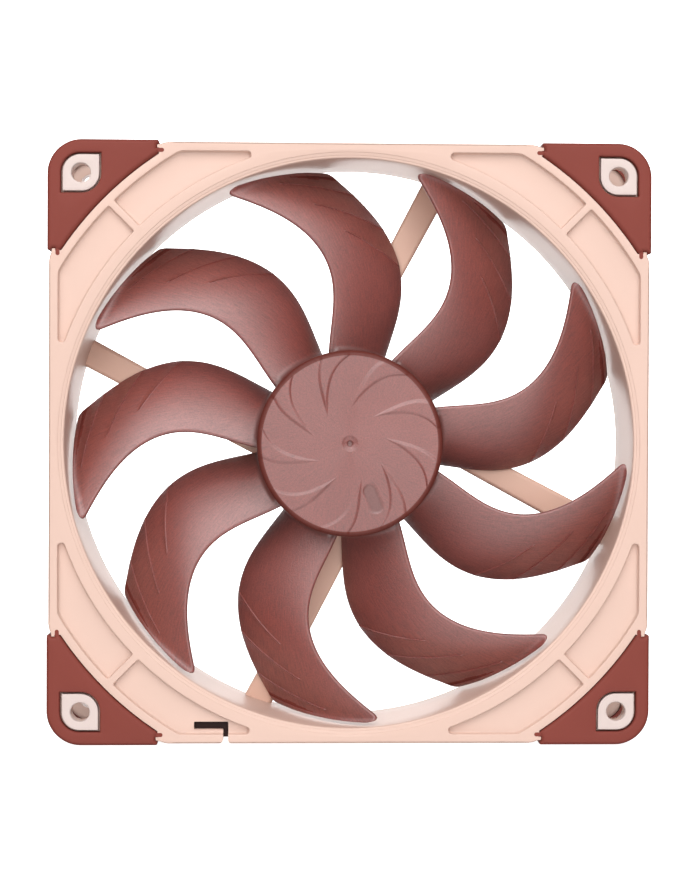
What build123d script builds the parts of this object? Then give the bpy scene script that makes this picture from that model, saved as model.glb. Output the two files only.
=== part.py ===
"""Case fan, 140 x 140 x 25 mm: frame with corner pads, motor, and a nine-bladed impeller."""

from math import cos, radians, sin, tan
import os

import numpy
from build123d import *

# Sizes are in millimetres. The fan's axis is Y: air enters at the -Y face and leaves at +Y.
# A height is measured along the axis from the fan's mid-depth, positive towards the intake.

# Outside
side = 140.0                # square across the corner pads
depth = 25.0                # intake pad faces to exhaust pad faces
pad_proud = 0.4             # pads stand out from the frame by this much, faces and sides alike
corner_r = 8.0
hole_edge = 7.75            # screw holes lie this far in from both sides
screw_hole_r = 2.2

# Frame
flange_t = 4.2
bore_r = 66.1
ring_t = 2.3
inlet_step = 0.7            # the intake edge opens out in two steps of this width
inlet_step_depth = 0.8
inlet_steps = 2
lip_w = 3.8                 # flat lip between the bore and the pockets
pocket_w = 8.3
pocket_depth = 1.4
pocket_edge = 2.1           # rail between a pocket and the frame's outer edge
pocket_rib = 1.6
pocket_corner_r = 3.0
pocket_tip_r = 0.9

# Corner pads
pad_reach = 25.6            # length of a pad along each side of the fan
pad_arc_w = 2.1             # rail between the pockets and a pad's curved edge
pad_t = 2.0
pad_skirt = 1.8             # rubber that wraps the flange's outer edge
pad_hook_t = 1.0            # lip that grips the back of the flange
pad_hook_w = 2.4
pad_fit = 0.05
pad_arc_gap = 0.2
eye_half = 4.65             # half width of the pad's eye-shaped opening
boss_gap = 0.45             # between that opening and the frame's boss in it
tongue_w = 0.7
tongue_reach = 1.1
tab_reach = 0.35
rail_taper = 1.9            # the frame's edge slopes in over this length to meet a pad
rail_taper_drop = 0.7

# Struts and motor base
strut_count = 4
strut_offset = 10.4         # each strut's centre line passes the axis at this distance
strut_angle = -28.0         # direction of the first strut, seen from the intake
strut_hub_w = 5.4
strut_rim_w = 6.7
strut_t = 3.4
strut_edge_r = 1.0
base_r = 21.5
base_t = 3.2
channel_w = 3.0             # lead channel in the back of one strut
channel_depth = 1.9
channel_strut = 3
window_inner = 14.5         # window from the motor into that channel, along the strut
window_outer = 17.5
slot_x = 32.0               # lead slot in the intake flange
slot_w = 8.0
slot_h = 1.8
slot_edge = 3.1             # flange left outside the slot
slot_neck_w = 1.2
post_r = 1.0
post_at = 14.0

# Impeller
blade_count = 9
hub_r = 21.7
hub_face = 11.6
hub_wall = 1.25
hub_cap = 1.8
hub_edge_r = 1.0
hub_gap = 0.8               # hub skirt to motor base
dimple_r = 1.9
dimple_depth = 0.35
pit_r = 0.8
pit_depth = 0.8
tip_gap = 0.8
blade_root_sink = 0.6       # how far a blade runs into the hub wall
blade_stations = 12
blade_points = 7
root_thickness = 2.6
tip_thickness = 1.5
lead_edge_t = 0.9
trail_edge_t = 0.55
blade_camber = 1.3
strut_gap = 0.9             # trailing edges to struts
# Blade edges at equal steps from hub to tip: angle about the axis and height.
lead_angles = (61.4, 55.8, 56.8, 65.3, 76.6)
trail_angles = (26.8, 28.9, 33.5, 43.1, 54.4)
lead_heights = (4.5, 4.8, 5.6, 7.3, 9.3)

# Rotor metal
yoke_t = 1.0
yoke_skirt_gap = 1.7        # yoke rim to hub rim
ring_magnet_t = 2.15
ring_magnet_h = 12.0
bush_r = 4.0
bush_neck_r = 2.6
bush_neck_in_cap = 0.5
bush_t = 1.7
washer_r = 3.2
washer_t = 0.45

# Bearing
shaft_r = 1.5
shaft_fit = 0.02
tube_r = 4.9
tube_wall = 1.0
tube_top = 6.4
tube_floor = 0.7            # plastic left under the tube
seal_t = 1.0
sleeve_h = 12.0
groove_r = 1.0
clip_t = 0.5
clip_gap = 0.1
shaft_tip_gap = 0.05
thrust_t = 0.7
lift_magnet_r = 3.4
lift_magnet_t = 0.75
shaft_tip_h = -9.2

# Stator
air_gap = 0.7
pole_count = 4
plate_count = 8
plate_t = 0.65
core_r = 8.0
arm_w = 4.4
shoe_t = 1.8
shoe_slot = 3.2
bobbin_t = 0.8
bobbin_ring_r = 9.2
bobbin_wall_h = 2.2
coil_inner = 9.5
coil_outer = 13.5
coil_build = 2.0
coil_gap = 0.05
wire_bend_r = 1.4
boss_wall = 1.5             # plastic round the bearing tube

# Circuit board
board_t = 1.1
board_lift = 1.2            # above the motor base
board_gap = 0.1
pin_count = 4
pin_r = 0.32
pin_hole_r = 0.45
pin_tail = 0.6              # below the board
chip_at = 10.6
chip_w = 3.0
chip_l = 4.0
chip_t = 0.9
hall_at = 15.2
hall_w = 1.4
hall_l = 3.0
hall_t = 1.5
small_chip_w = 0.8
small_chip_l = 1.6
small_chip_t = 0.55
lead_count = 4
pad_pitch = 1.3
pad_row_at = 9.0
pad_foil = 0.15
label_r = 16.6
label_t = 0.18
label_recess = 0.2

# Worked out from the sizes above
face = depth / 2 - pad_proud
half = side / 2 - pad_proud
flange_back = face - flange_t
ring_r = bore_r + ring_t
lip_r = bore_r + lip_w
pocket_r = lip_r + pocket_w
pad_arc_r = pocket_r + pad_arc_w
seat = depth / 2 - pad_t
pad_end = side / 2 - pad_reach
hole_at = side / 2 - hole_edge
boss_half = eye_half - boss_gap
tongue_at = half - 1.9
tab_at = half - 1.1

base_top = -face + base_t
strut_top = -face + strut_t
trail_height = strut_top + strut_gap
tip_r = bore_r - tip_gap
hub_rim = base_top + hub_gap
hub_inner = hub_r - hub_wall
cap_back = hub_face - hub_cap

magnet_out = hub_inner - yoke_t
magnet_in = magnet_out - ring_magnet_t
yoke_back = cap_back - yoke_t
yoke_rim = hub_rim + yoke_skirt_gap
bush_back = yoke_back - bush_t
shaft_top = cap_back + bush_neck_in_cap

tube_in = tube_r - tube_wall
tube_bottom = -face + label_recess + tube_floor
sleeve_top = tube_top - seal_t
sleeve_bottom = sleeve_top - sleeve_h
thrust_top = shaft_tip_h - shaft_tip_gap
lift_top = thrust_top - thrust_t
cap_top = lift_top - lift_magnet_t

stack_half = plate_count * plate_t / 2
stator_r = magnet_in - air_gap
shoe_in = stator_r - shoe_t
bobbin_face = stack_half + bobbin_t
wall_face = bobbin_face + bobbin_wall_h
window_half = bobbin_face + coil_gap
arm_cover_w = arm_w + 2 * bobbin_t
board_bottom = base_top + board_lift
board_top = board_bottom + board_t
board_in = tube_r + boss_wall + board_gap
board_out = stator_r

os.makedirs("parts", exist_ok=True)


def level(height, turn=0, rear=False):
    """Plane across the axis, seen from the intake or from behind, and turned about the axis."""
    way = -1 if rear else 1
    x_dir = (way * cos(radians(turn)), 0, sin(radians(turn)))
    return Plane(origin=(0, -way * height, 0), x_dir=x_dir, z_dir=(0, -way, 0))


def save(piece, name):
    """Label a finished piece and write its file."""
    piece.part.label = name
    export_step(piece.part, f"parts/{name}.step")


def about_axis(count):
    """Equal turns about the fan's axis, starting at zero."""
    return [Location((0, 0, 0), (0, -360 * step / count, 0)) for step in range(count)]


def ring(outer, inner, bottom, top):
    """Draw and raise a plain ring or, with no inner radius, a disc on the axis."""
    with BuildSketch(level(bottom)) as outline:
        Circle(outer)
        if inner:
            Circle(inner, mode=Mode.SUBTRACT)
    extrude(outline.sketch, amount=top - bottom)


# ---------------------------------------------------------------- corner shapes


def draw_pad_outline(inset=0.0, arc_gap=0.0, grow=0.0):
    """Corner region of a pad: square outside with one round corner, curved inside edge."""
    edge = side / 2 - inset
    with BuildSketch(mode=Mode.PRIVATE) as square:
        RectangleRounded(2 * edge, 2 * edge, corner_r - inset)
    with BuildSketch(mode=Mode.PRIVATE) as region:
        span = edge - pad_end + 1
        with Locations((pad_end + span / 2, pad_end + span / 2)):
            Rectangle(span, span)
        Circle(pad_arc_r - arc_gap, mode=Mode.SUBTRACT)
    add(region.sketch)
    add(square.sketch, mode=Mode.INTERSECT)
    draw_pad_ends(grow)


def draw_pad_ends(grow):
    """A tongue that reaches past each end of a pad, and the notch beside it for the frame's tab."""
    for swap in (False, True):
        tongue = (pad_end, tongue_at)
        tab = (pad_end, tab_at)
        length = 2 * tongue_reach
        with Locations(tongue[::-1] if swap else tongue):
            SlotOverall(length + 2 * grow, tongue_w + 2 * grow, rotation=90 if swap else 0)
        notch = 2 * (tab_reach - grow + pad_fit)
        width = tongue_w - 2 * grow + 2 * pad_fit
        with Locations(tab[::-1] if swap else tab):
            Rectangle(width if swap else notch, notch if swap else width, mode=Mode.SUBTRACT)


def draw_eye(half_width, mode=Mode.ADD):
    """Square round the screw hole, with the two corners that face the fan's centre and corner rounded."""
    with BuildSketch(mode=Mode.PRIVATE) as eye:
        with Locations((hole_at, hole_at)):
            Rectangle(2 * half_width, 2 * half_width)
        by_distance = eye.vertices().sort_by(lambda corner: corner.X + corner.Y)
        fillet([by_distance[0], by_distance[-1]], half_width * 0.98)
    add(eye.sketch, mode=mode)


# ---------------------------------------------------------------- frame

with BuildPart() as strut:
    rim_end = bore_r + ring_t / 2
    with BuildSketch(level(-face, strut_angle)):
        with BuildLine():
            inner_half = strut_hub_w / 2
            outer_half = strut_rim_w / 2
            Polyline(
                (base_r / 2, strut_offset - inner_half),
                (rim_end, strut_offset - outer_half),
                (rim_end, strut_offset + outer_half),
                (base_r / 2, strut_offset + inner_half),
                close=True,
            )
        make_face()
    extrude(amount=strut_t)
    top_edges = strut.faces().sort_by(Axis.Y)[0].edges()
    fillet(top_edges.sort_by(SortBy.LENGTH)[-2:], strut_edge_r)

with BuildPart() as frame:
    ring(ring_r, bore_r, -face, face)
    for rear in (False, True):
        with BuildSketch(level(flange_back, rear=rear)):
            RectangleRounded(2 * half, 2 * half, corner_r - pad_proud)
            Circle(bore_r, mode=Mode.SUBTRACT)
        extrude(amount=flange_t)

        # Shallow pockets, two to a corner, between the lip and the outer rail
        with BuildSketch(level(face, rear=rear)) as pockets:
            Circle(pocket_r)
            Circle(lip_r, mode=Mode.SUBTRACT)
            Rectangle(2 * (half - pocket_edge), 2 * (half - pocket_edge), mode=Mode.INTERSECT)
            with PolarLocations(0, 2, start_angle=45, angular_range=180):
                Rectangle(2 * side, pocket_rib, mode=Mode.SUBTRACT)
            tips = [v for v in pockets.vertices() if min(abs(v.X), abs(v.Y)) < bore_r / 2]
            fillet(tips, pocket_tip_r)
            bends = [v for v in pockets.vertices() if max(abs(v.X), abs(v.Y)) > half - pocket_edge - 0.01]
            outer_bends = [v for v in bends if (v.X**2 + v.Y**2) ** 0.5 > pocket_r - 0.01]
            fillet(outer_bends, pocket_corner_r)
        extrude(amount=-pocket_depth, mode=Mode.SUBTRACT)

        for turn in range(0, 360, 90):
            # The flange drops back under each pad, all but the boss round the screw hole
            with BuildSketch(level(seat, turn, rear)):
                draw_pad_outline(arc_gap=pad_arc_gap, grow=pad_fit)
                draw_eye(boss_half, mode=Mode.SUBTRACT)
            extrude(amount=pad_t, mode=Mode.SUBTRACT)
            with BuildSketch(level(flange_back, turn, rear)):
                draw_pad_outline(arc_gap=pad_arc_gap, grow=pad_fit)
                with BuildSketch(mode=Mode.SUBTRACT):
                    core = side / 2 - pad_skirt - pad_fit
                    RectangleRounded(2 * core, 2 * core, corner_r - pad_skirt)
            extrude(amount=flange_t, mode=Mode.SUBTRACT)
            with BuildSketch(level(flange_back, turn, rear)):
                for mirrored in (False, True):
                    corners = [
                        (pad_end - rail_taper, half),
                        (pad_end + 0.1, half - rail_taper_drop),
                        (pad_end + 0.1, half),
                    ]
                    if mirrored:
                        corners = [(y, x) for x, y in corners]
                    with BuildLine():
                        Polyline(*corners, close=True)
                    make_face()
            extrude(amount=flange_t, mode=Mode.SUBTRACT)

    # Stepped inlet edge
    for step in range(inlet_steps):
        radius = bore_r + inlet_step * (inlet_steps - step)
        with BuildSketch(level(face)):
            Circle(radius)
            Circle(bore_r, mode=Mode.SUBTRACT)
        extrude(amount=-inlet_step_depth * (step + 1), mode=Mode.SUBTRACT)

    # Motor base on its struts, with the boss that holds the bearing tube
    with Locations(*about_axis(strut_count)):
        add(strut.part)
    ring(base_r, 0, -face, base_top)
    ring(tube_r + boss_wall, 0, base_top, -bobbin_face)
    with BuildSketch(level(base_top)):
        with PolarLocations(post_at, 3, start_angle=15):
            Circle(post_r)
    extrude(amount=board_lift)
    with BuildSketch(level(tube_bottom)):
        Circle(tube_r)
    extrude(amount=-bobbin_face - tube_bottom, mode=Mode.SUBTRACT)
    with BuildSketch(level(-face)):
        Circle(label_r + board_gap)
    extrude(amount=label_recess, mode=Mode.SUBTRACT)

    # Lead channel along the back of one strut and out through the flange's edge
    lead_turn = strut_angle + channel_strut * 360 / strut_count
    with BuildSketch(level(-face, lead_turn)):
        reach = side * 0.6 - window_inner
        with Locations((window_inner + reach / 2, strut_offset)):
            Rectangle(reach, channel_w)
    extrude(amount=channel_depth, mode=Mode.SUBTRACT)
    with BuildSketch(level(-face, lead_turn)):
        with Locations(((window_inner + window_outer) / 2, strut_offset)):
            Rectangle(window_outer - window_inner, channel_w)
    extrude(amount=base_t, mode=Mode.SUBTRACT)

    # Hooked lead slot in the intake flange
    with BuildSketch(level(face)):
        slot_top = -half + slot_edge + slot_h
        with Locations((-slot_x, slot_top)):
            Rectangle(slot_w, slot_h, align=(Align.CENTER, Align.MAX))
        with Locations((-slot_x + slot_w / 2, slot_top)):
            Rectangle(slot_neck_w, 2 * slot_edge + slot_h, align=(Align.MAX, Align.MAX))
    extrude(amount=-flange_t, mode=Mode.SUBTRACT)

    # Screw holes through both flanges
    with BuildSketch(level(face)):
        with GridLocations(2 * hole_at, 2 * hole_at, 2, 2):
            Circle(screw_hole_r)
    extrude(amount=-2 * face, mode=Mode.SUBTRACT)

save(frame, "frame")

# ---------------------------------------------------------------- corner pads

corner_names = {0: "top_right", 90: "top_left", 180: "bottom_left", 270: "bottom_right"}
rear_names = {0: "top_left", 90: "top_right", 180: "bottom_right", 270: "bottom_left"}

for rear in (False, True):
    for turn in range(0, 360, 90):
        with BuildPart() as pad:
            with BuildSketch(level(seat, turn, rear)):
                draw_pad_outline()
                draw_eye(eye_half, mode=Mode.SUBTRACT)
            extrude(amount=pad_t)
            with BuildSketch(level(flange_back - pad_hook_t, turn, rear)):
                draw_pad_outline()
                with BuildSketch(mode=Mode.SUBTRACT):
                    core = side / 2 - pad_skirt
                    RectangleRounded(2 * core, 2 * core, corner_r - pad_skirt)
            extrude(amount=seat - flange_back + pad_hook_t)
            with BuildSketch(level(flange_back - pad_hook_t, turn, rear)):
                draw_pad_outline()
                with BuildSketch(mode=Mode.SUBTRACT):
                    core = side / 2 - pad_skirt - pad_hook_w
                    RectangleRounded(2 * core, 2 * core, corner_r - pad_skirt)
            extrude(amount=pad_hook_t)
        names = rear_names if rear else corner_names
        save(pad, ("rear_pad_" if rear else "front_pad_") + names[turn])

# ---------------------------------------------------------------- impeller

station_steps = numpy.linspace(0, 1, len(lead_angles))
lead_law = numpy.polyfit(station_steps, lead_angles, len(lead_angles) - 1)
trail_law = numpy.polyfit(station_steps, trail_angles, len(trail_angles) - 1)
height_law = numpy.polyfit(station_steps, lead_heights, 2)


def at_radius(law, radius):
    """Value of a blade law at a radius; it runs from the hub's wall to the blade's tip."""
    return float(numpy.polyval(law, (radius - hub_r) / (tip_r - hub_r)))


def edge_offset(law, distance, centre):
    """Angle from a section's centre to a blade edge, on the flat section at this distance."""
    offset = at_radius(law, distance) - centre
    for _ in range(8):
        offset = at_radius(law, distance / cos(radians(offset))) - centre
    return offset


def blade_section(distance):
    """Cambered profile on a flat plane that stands across the blade at a distance from the axis."""
    centre = (at_radius(lead_law, distance) + at_radius(trail_law, distance)) / 2
    lead = distance * tan(radians(edge_offset(lead_law, distance, centre)))
    trail = distance * tan(radians(edge_offset(trail_law, distance, centre)))
    rise = at_radius(height_law, distance) - trail_height
    share = min(max((distance - hub_r) / (tip_r - hub_r), 0), 1)
    swell = root_thickness + (tip_thickness - root_thickness) * share

    out = Vector(cos(radians(centre)), 0, sin(radians(centre)))
    along = Vector(-sin(radians(centre)), 0, cos(radians(centre)))
    plane = Plane(origin=out * distance, x_dir=along, z_dir=out)

    chord = Vector(lead - trail, rise)
    across = Vector(-chord.Y, chord.X).normalized()
    front, back = [], []
    for step in range(blade_points):
        u = step / (blade_points - 1)
        bow = 4 * blade_camber * u * (1 - u)
        body = trail_edge_t + (lead_edge_t - trail_edge_t) * u
        half_t = (body + (swell - lead_edge_t) * (4 * u * (1 - u)) ** 0.7) / 2
        middle = Vector(trail, trail_height) + chord * u + across * bow
        front.append(middle + across * half_t)
        back.append(middle - across * half_t)
    nose = Vector(trail, trail_height) + chord * (1 + lead_edge_t / 2 / chord.length)
    tail = Vector(trail, trail_height) - chord * (trail_edge_t / 2 / chord.length)

    with BuildSketch(plane) as section:
        with BuildLine():
            Spline(*front)
            ThreePointArc(front[-1], nose, back[-1])
            Spline(*back[::-1])
            ThreePointArc(back[0], tail, front[0])
        make_face()
    return section


with BuildPart() as blade:
    first = hub_inner - 1.2
    last = tip_r + 1.5
    for station in range(blade_stations):
        section = blade_section(first + (last - first) * station / (blade_stations - 1))
        add(section.sketch)
    loft()
    with BuildSketch(level(-face)):
        Circle(tip_r)
        Circle(hub_r - blade_root_sink, mode=Mode.SUBTRACT)
    extrude(amount=depth, mode=Mode.INTERSECT)

with BuildPart() as impeller:
    ring(hub_r, hub_inner, hub_rim, cap_back)
    ring(hub_r, 0, cap_back, hub_face)
    fillet(impeller.faces().sort_by(Axis.Y)[0].edges(), hub_edge_r)
    with BuildSketch(level(cap_back)):
        Circle(bush_neck_r)
    extrude(amount=bush_neck_in_cap, mode=Mode.SUBTRACT)
    with BuildSketch(level(hub_face)):
        Circle(dimple_r)
    extrude(amount=-dimple_depth, taper=45, mode=Mode.SUBTRACT)
    with BuildSketch(level(hub_face)):
        Circle(pit_r)
    extrude(amount=-pit_depth, mode=Mode.SUBTRACT)
    with Locations(*about_axis(blade_count)):
        add(blade.part)
save(impeller, "impeller")

# ---------------------------------------------------------------- rotor metal

with BuildPart() as rotor_yoke:
    ring(hub_inner, bush_neck_r, yoke_back, cap_back)
    ring(hub_inner, magnet_out, yoke_rim, yoke_back)
save(rotor_yoke, "rotor_yoke")

with BuildPart() as ring_magnet:
    ring(magnet_out, magnet_in, -ring_magnet_h / 2, ring_magnet_h / 2)
    chamfer(ring_magnet.edges().filter_by(GeomType.CIRCLE), 0.2)
save(ring_magnet, "ring_magnet")

with BuildPart() as hub_bush:
    ring(bush_r, shaft_r, bush_back, yoke_back)
    ring(bush_neck_r, shaft_r, yoke_back, shaft_top)
save(hub_bush, "hub_bush")

with BuildPart() as shaft:
    ring(shaft_r, 0, shaft_tip_h, shaft_top)
    fillet(shaft.faces().sort_by(Axis.Y)[-1].edges(), shaft_r * 0.9)
    with BuildSketch(level(sleeve_bottom - clip_t - clip_gap)):
        Circle(shaft_r)
        Circle(groove_r, mode=Mode.SUBTRACT)
    extrude(amount=clip_t + 2 * clip_gap, mode=Mode.SUBTRACT)
save(shaft, "shaft")

with BuildPart() as oil_washer:
    ring(washer_r, shaft_r, bush_back - washer_t, bush_back)
save(oil_washer, "oil_washer")

# ---------------------------------------------------------------- bearing

with BuildPart() as bearing_tube:
    ring(tube_r, tube_in, tube_bottom, tube_top)
save(bearing_tube, "bearing_tube")

with BuildPart() as sleeve_bearing:
    ring(tube_in, shaft_r + shaft_fit, sleeve_bottom, sleeve_top)
save(sleeve_bearing, "sleeve_bearing")

with BuildPart() as bearing_seal:
    ring(tube_in, shaft_r + pad_fit, sleeve_top, tube_top)
save(bearing_seal, "bearing_seal")

with BuildPart() as retaining_clip:
    with BuildSketch(level(sleeve_bottom - clip_t)):
        Circle(tube_in - pad_fit)
        Circle(groove_r + clip_gap, mode=Mode.SUBTRACT)
        with Locations((tube_in / 2, 0)):
            Rectangle(tube_in, groove_r, mode=Mode.SUBTRACT)
    extrude(amount=clip_t)
save(retaining_clip, "retaining_clip")

with BuildPart() as thrust_plate:
    ring(tube_in, 0, lift_top, thrust_top)
save(thrust_plate, "thrust_plate")

with BuildPart() as lift_magnet:
    ring(lift_magnet_r, 0, cap_top, lift_top)
save(lift_magnet, "lift_magnet")

with BuildPart() as bearing_cap:
    ring(tube_in, 0, tube_bottom, cap_top)
save(bearing_cap, "bearing_cap")

# ---------------------------------------------------------------- stator

with BuildPart() as lamination:
    with BuildSketch(level(-stack_half)):
        Circle(stator_r)
        Circle(shoe_in, mode=Mode.SUBTRACT)
        with PolarLocations(stator_r, pole_count, start_angle=45):
            Rectangle(stator_r, shoe_slot, mode=Mode.SUBTRACT)
        Circle(core_r)
        with PolarLocations((core_r + shoe_in) / 2, pole_count):
            Rectangle(shoe_in - core_r + shoe_t, arm_w)
        Circle(tube_r, mode=Mode.SUBTRACT)
    extrude(amount=plate_t)

plates = [lamination.part.moved(Location((0, -plate_t * plate, 0))) for plate in range(plate_count)]
for plate in plates:
    plate.label = "lamination"
stator_core = Compound(label="stator_core", children=plates)
export_step(stator_core, "parts/stator_core.step")

for name, rear in (("upper_bobbin", False), ("lower_bobbin", True)):
    with BuildPart() as bobbin:
        with BuildSketch(level(stack_half, rear=rear)):
            Circle(bobbin_ring_r)
            with PolarLocations(coil_outer / 2, pole_count):
                Rectangle(coil_outer, arm_cover_w)
            Circle(tube_r, mode=Mode.SUBTRACT)
        extrude(amount=bobbin_t)
        # Cheeks down the sides of each arm, to the middle of the stack
        with BuildSketch(level(coil_gap / 2, rear=rear)):
            with PolarLocations((coil_inner + coil_outer) / 2, pole_count):
                Rectangle(coil_outer - coil_inner, arm_cover_w)
                Rectangle(coil_outer - coil_inner, arm_w, mode=Mode.SUBTRACT)
        extrude(amount=stack_half - coil_gap / 2)
        # Upright walls that hold the winding
        with BuildSketch(level(stack_half, rear=rear)):
            with PolarLocations(coil_outer + bobbin_t / 2, pole_count):
                Rectangle(bobbin_t, arm_cover_w + 2 * bobbin_wall_h)
        extrude(amount=wall_face - stack_half)
    save(bobbin, name)

coil_half_w = arm_cover_w / 2 + coil_gap
for pole in range(pole_count):
    turn = 360 * pole / pole_count
    out = Vector(cos(radians(turn)), 0, sin(radians(turn)))
    with BuildPart() as coil:
        with BuildSketch(Plane(origin=out * coil_inner, x_dir=(0, 1, 0), z_dir=out)):
            RectangleRounded(2 * (window_half + coil_build), 2 * (coil_half_w + coil_build), wire_bend_r)
            RectangleRounded(2 * window_half, 2 * coil_half_w, coil_gap, mode=Mode.SUBTRACT)
        extrude(amount=coil_outer - coil_inner - coil_gap)
    save(coil, f"coil_{pole + 1}")

# ---------------------------------------------------------------- circuit board

with BuildPart() as circuit_board:
    ring(board_out, board_in, board_bottom, board_top)
    with BuildSketch(level(board_bottom)):
        with PolarLocations(coil_outer + bobbin_t / 2, pin_count):
            Circle(pin_hole_r)
    extrude(amount=board_t, mode=Mode.SUBTRACT)
save(circuit_board, "circuit_board")

with BuildPart() as terminal_pins:
    with BuildSketch(level(-wall_face)):
        with PolarLocations(coil_outer + bobbin_t / 2, pin_count):
            Circle(pin_r)
    extrude(amount=board_bottom - pin_tail + wall_face)
save(terminal_pins, "terminal_pins")

with BuildPart() as driver_chip:
    with BuildSketch(level(board_top)):
        with PolarLocations(chip_at, 1, start_angle=45):
            Rectangle(chip_w, chip_l)
    extrude(amount=chip_t)
    chamfer(driver_chip.faces().sort_by(Axis.Y)[0].edges(), 0.15)
save(driver_chip, "driver_chip")

with BuildPart() as hall_sensor:
    with BuildSketch(level(board_top)):
        with PolarLocations(hall_at, 1, start_angle=45):
            Rectangle(hall_w, hall_l)
    extrude(amount=hall_t)
save(hall_sensor, "hall_sensor")

with BuildPart() as chip_parts:
    with BuildSketch(level(board_top)):
        for start in (125, 215, 305):
            with PolarLocations(chip_at, 3, start_angle=start, angular_range=30):
                Rectangle(small_chip_w, small_chip_l)
    extrude(amount=small_chip_t)
save(chip_parts, "chip_parts")

with BuildPart() as solder_pads:
    with BuildSketch(level(board_bottom, lead_turn)):
        with Locations((pad_row_at, strut_offset)):
            with GridLocations(0, pad_pitch, 1, lead_count):
                Rectangle(pad_pitch, pad_pitch * 0.6)
    extrude(amount=-pad_foil)
save(solder_pads, "solder_pads")

with BuildPart() as rear_label:
    ring(label_r, 0, -face + label_recess - label_t, -face + label_recess)
save(rear_label, "rear_label")
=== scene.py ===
from math import cos, pi, radians, sin

import bmesh
import bpy
import numpy as np
from mathutils import Euler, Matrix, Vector


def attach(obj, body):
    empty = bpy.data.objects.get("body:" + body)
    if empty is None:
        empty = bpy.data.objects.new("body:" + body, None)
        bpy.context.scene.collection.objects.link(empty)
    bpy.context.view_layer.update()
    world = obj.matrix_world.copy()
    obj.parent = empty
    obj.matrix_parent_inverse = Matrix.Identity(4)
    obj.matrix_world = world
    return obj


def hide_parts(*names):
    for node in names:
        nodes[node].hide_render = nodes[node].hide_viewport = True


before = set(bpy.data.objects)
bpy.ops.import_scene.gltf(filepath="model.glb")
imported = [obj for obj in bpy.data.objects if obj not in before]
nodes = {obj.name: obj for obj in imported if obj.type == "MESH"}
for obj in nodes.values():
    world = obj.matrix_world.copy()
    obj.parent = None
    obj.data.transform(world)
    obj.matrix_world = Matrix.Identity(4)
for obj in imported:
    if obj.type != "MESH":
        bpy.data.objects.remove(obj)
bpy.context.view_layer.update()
mm = 0.001
mergeGap = 2e-7             # metres; closer points become one
print("frame loaded:", len(nodes), "nodes")

# Heights below are along the fan's axis, in mm, from mid-depth towards the intake.
# A place in the fan is (x, height, z); in the scene y is minus the height.


def toWorld(x, height, z):
    # stacks x, height and z into points of the scene, in metres
    return np.stack([x, -height, z], -1) * mm


def turnAbout(x, z, angle):
    # x and z turned about the axis, the angle in radians
    return x * cos(angle) - z * sin(angle), x * sin(angle) + z * cos(angle)


def gridFaces(rows, cols, closeRows=False, closeCols=False, start=0):
    # quads between neighbouring points of a rows by cols grid; a closed direction wraps round
    i = np.arange(rows if closeRows else rows - 1)[:, None]
    j = np.arange(cols if closeCols else cols - 1)[None, :]
    i2 = (i + 1) % rows
    j2 = (j + 1) % cols
    quads = np.stack([i * cols + j, i * cols + j2, i2 * cols + j2, i2 * cols + j], -1)
    return quads.reshape(-1, 4) + start


def smoothStep(edge0, edge1, value):
    # 0 below edge0, 1 above edge1, cubic between
    t = np.clip((value - edge0) / (edge1 - edge0), 0, 1)
    return t * t * (3 - 2 * t)


def makeMesh(name, points, faces):
    # arrays to a mesh, with its doubles merged and its faces turned outwards
    mesh = bpy.data.meshes.new(name)
    mesh.from_pydata(points.reshape(-1, 3).tolist(), [], faces if isinstance(faces, list) else faces.tolist())
    work = bmesh.new()
    work.from_mesh(mesh)
    bmesh.ops.remove_doubles(work, verts=work.verts, dist=mergeGap)
    bmesh.ops.dissolve_degenerate(work, edges=work.edges, dist=mergeGap / 2)
    bmesh.ops.recalc_face_normals(work, faces=work.faces)
    work.to_mesh(mesh)
    work.free()
    return mesh


def addPiece(name, mesh, body, replaced, materials, smoothAngle):
    # the object of a finished mesh, with its materials, its body, and the nodes it stands for
    for material in materials:
        mesh.materials.append(material)
    mesh.shade_smooth()
    mesh.set_sharp_from_angle(angle=radians(smoothAngle))
    piece = bpy.data.objects.new(name, mesh)
    bpy.context.scene.collection.objects.link(piece)
    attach(piece, body)
    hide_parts(*replaced)
    print("piece", name, sum(len(p.vertices) - 2 for p in mesh.polygons), "triangles")


def markPaintedShade(mesh, paintedShade):
    # one value for each vertex: the share of painted shade there, which darkens the plastic
    layer = mesh.attributes.new("paintedShade", "FLOAT", "POINT")
    layer.data.foreach_set("value", paintedShade.astype(np.float32))


def readPlaces(items, field):
    # x, y and z of every item, in mm
    values = np.empty(len(items) * 3, np.float32)
    items.foreach_get(field, values)
    return values.reshape(-1, 3).T / mm


def newMaterial(name, base, roughness, specular=0.5):
    # a material of one even tone; returns it with its node tree and its shader
    material = bpy.data.materials.new(name)
    material.use_nodes = True
    tree = material.node_tree
    shader = tree.nodes["Principled BSDF"]
    shader.inputs["Base Color"].default_value = (*base, 1)
    shader.inputs["Roughness"].default_value = roughness
    shader.inputs["Specular IOR Level"].default_value = specular
    return material, tree, shader


def linear(r, g, b):
    # display colour, 0 to 255, to linear light
    c = np.array([r, g, b], float) / 255
    return tuple(np.where(c <= 0.04045, c / 12.92, ((c + 0.055) / 1.055) ** 2.4))


def addNode(tree, kind, inputs=(), **settings):
    # a node with its settings; an input takes a link from another node's output, or a plain value
    node = tree.nodes.new(kind)
    for key, value in settings.items():
        setattr(node, key, value)
    for key, value in dict(inputs).items():
        if hasattr(value, "is_output"):
            tree.links.new(value, node.inputs[key])
        else:
            node.inputs[key].default_value = value
    return node


def objectVector(tree, stretch=None):
    # coordinates in the piece's own space, stretched along its axes where asked
    vector = addNode(tree, "ShaderNodeTexCoord").outputs["Object"]
    if stretch:
        vector = addNode(tree, "ShaderNodeMapping", {"Vector": vector, "Scale": stretch}).outputs[0]
    return vector


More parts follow.
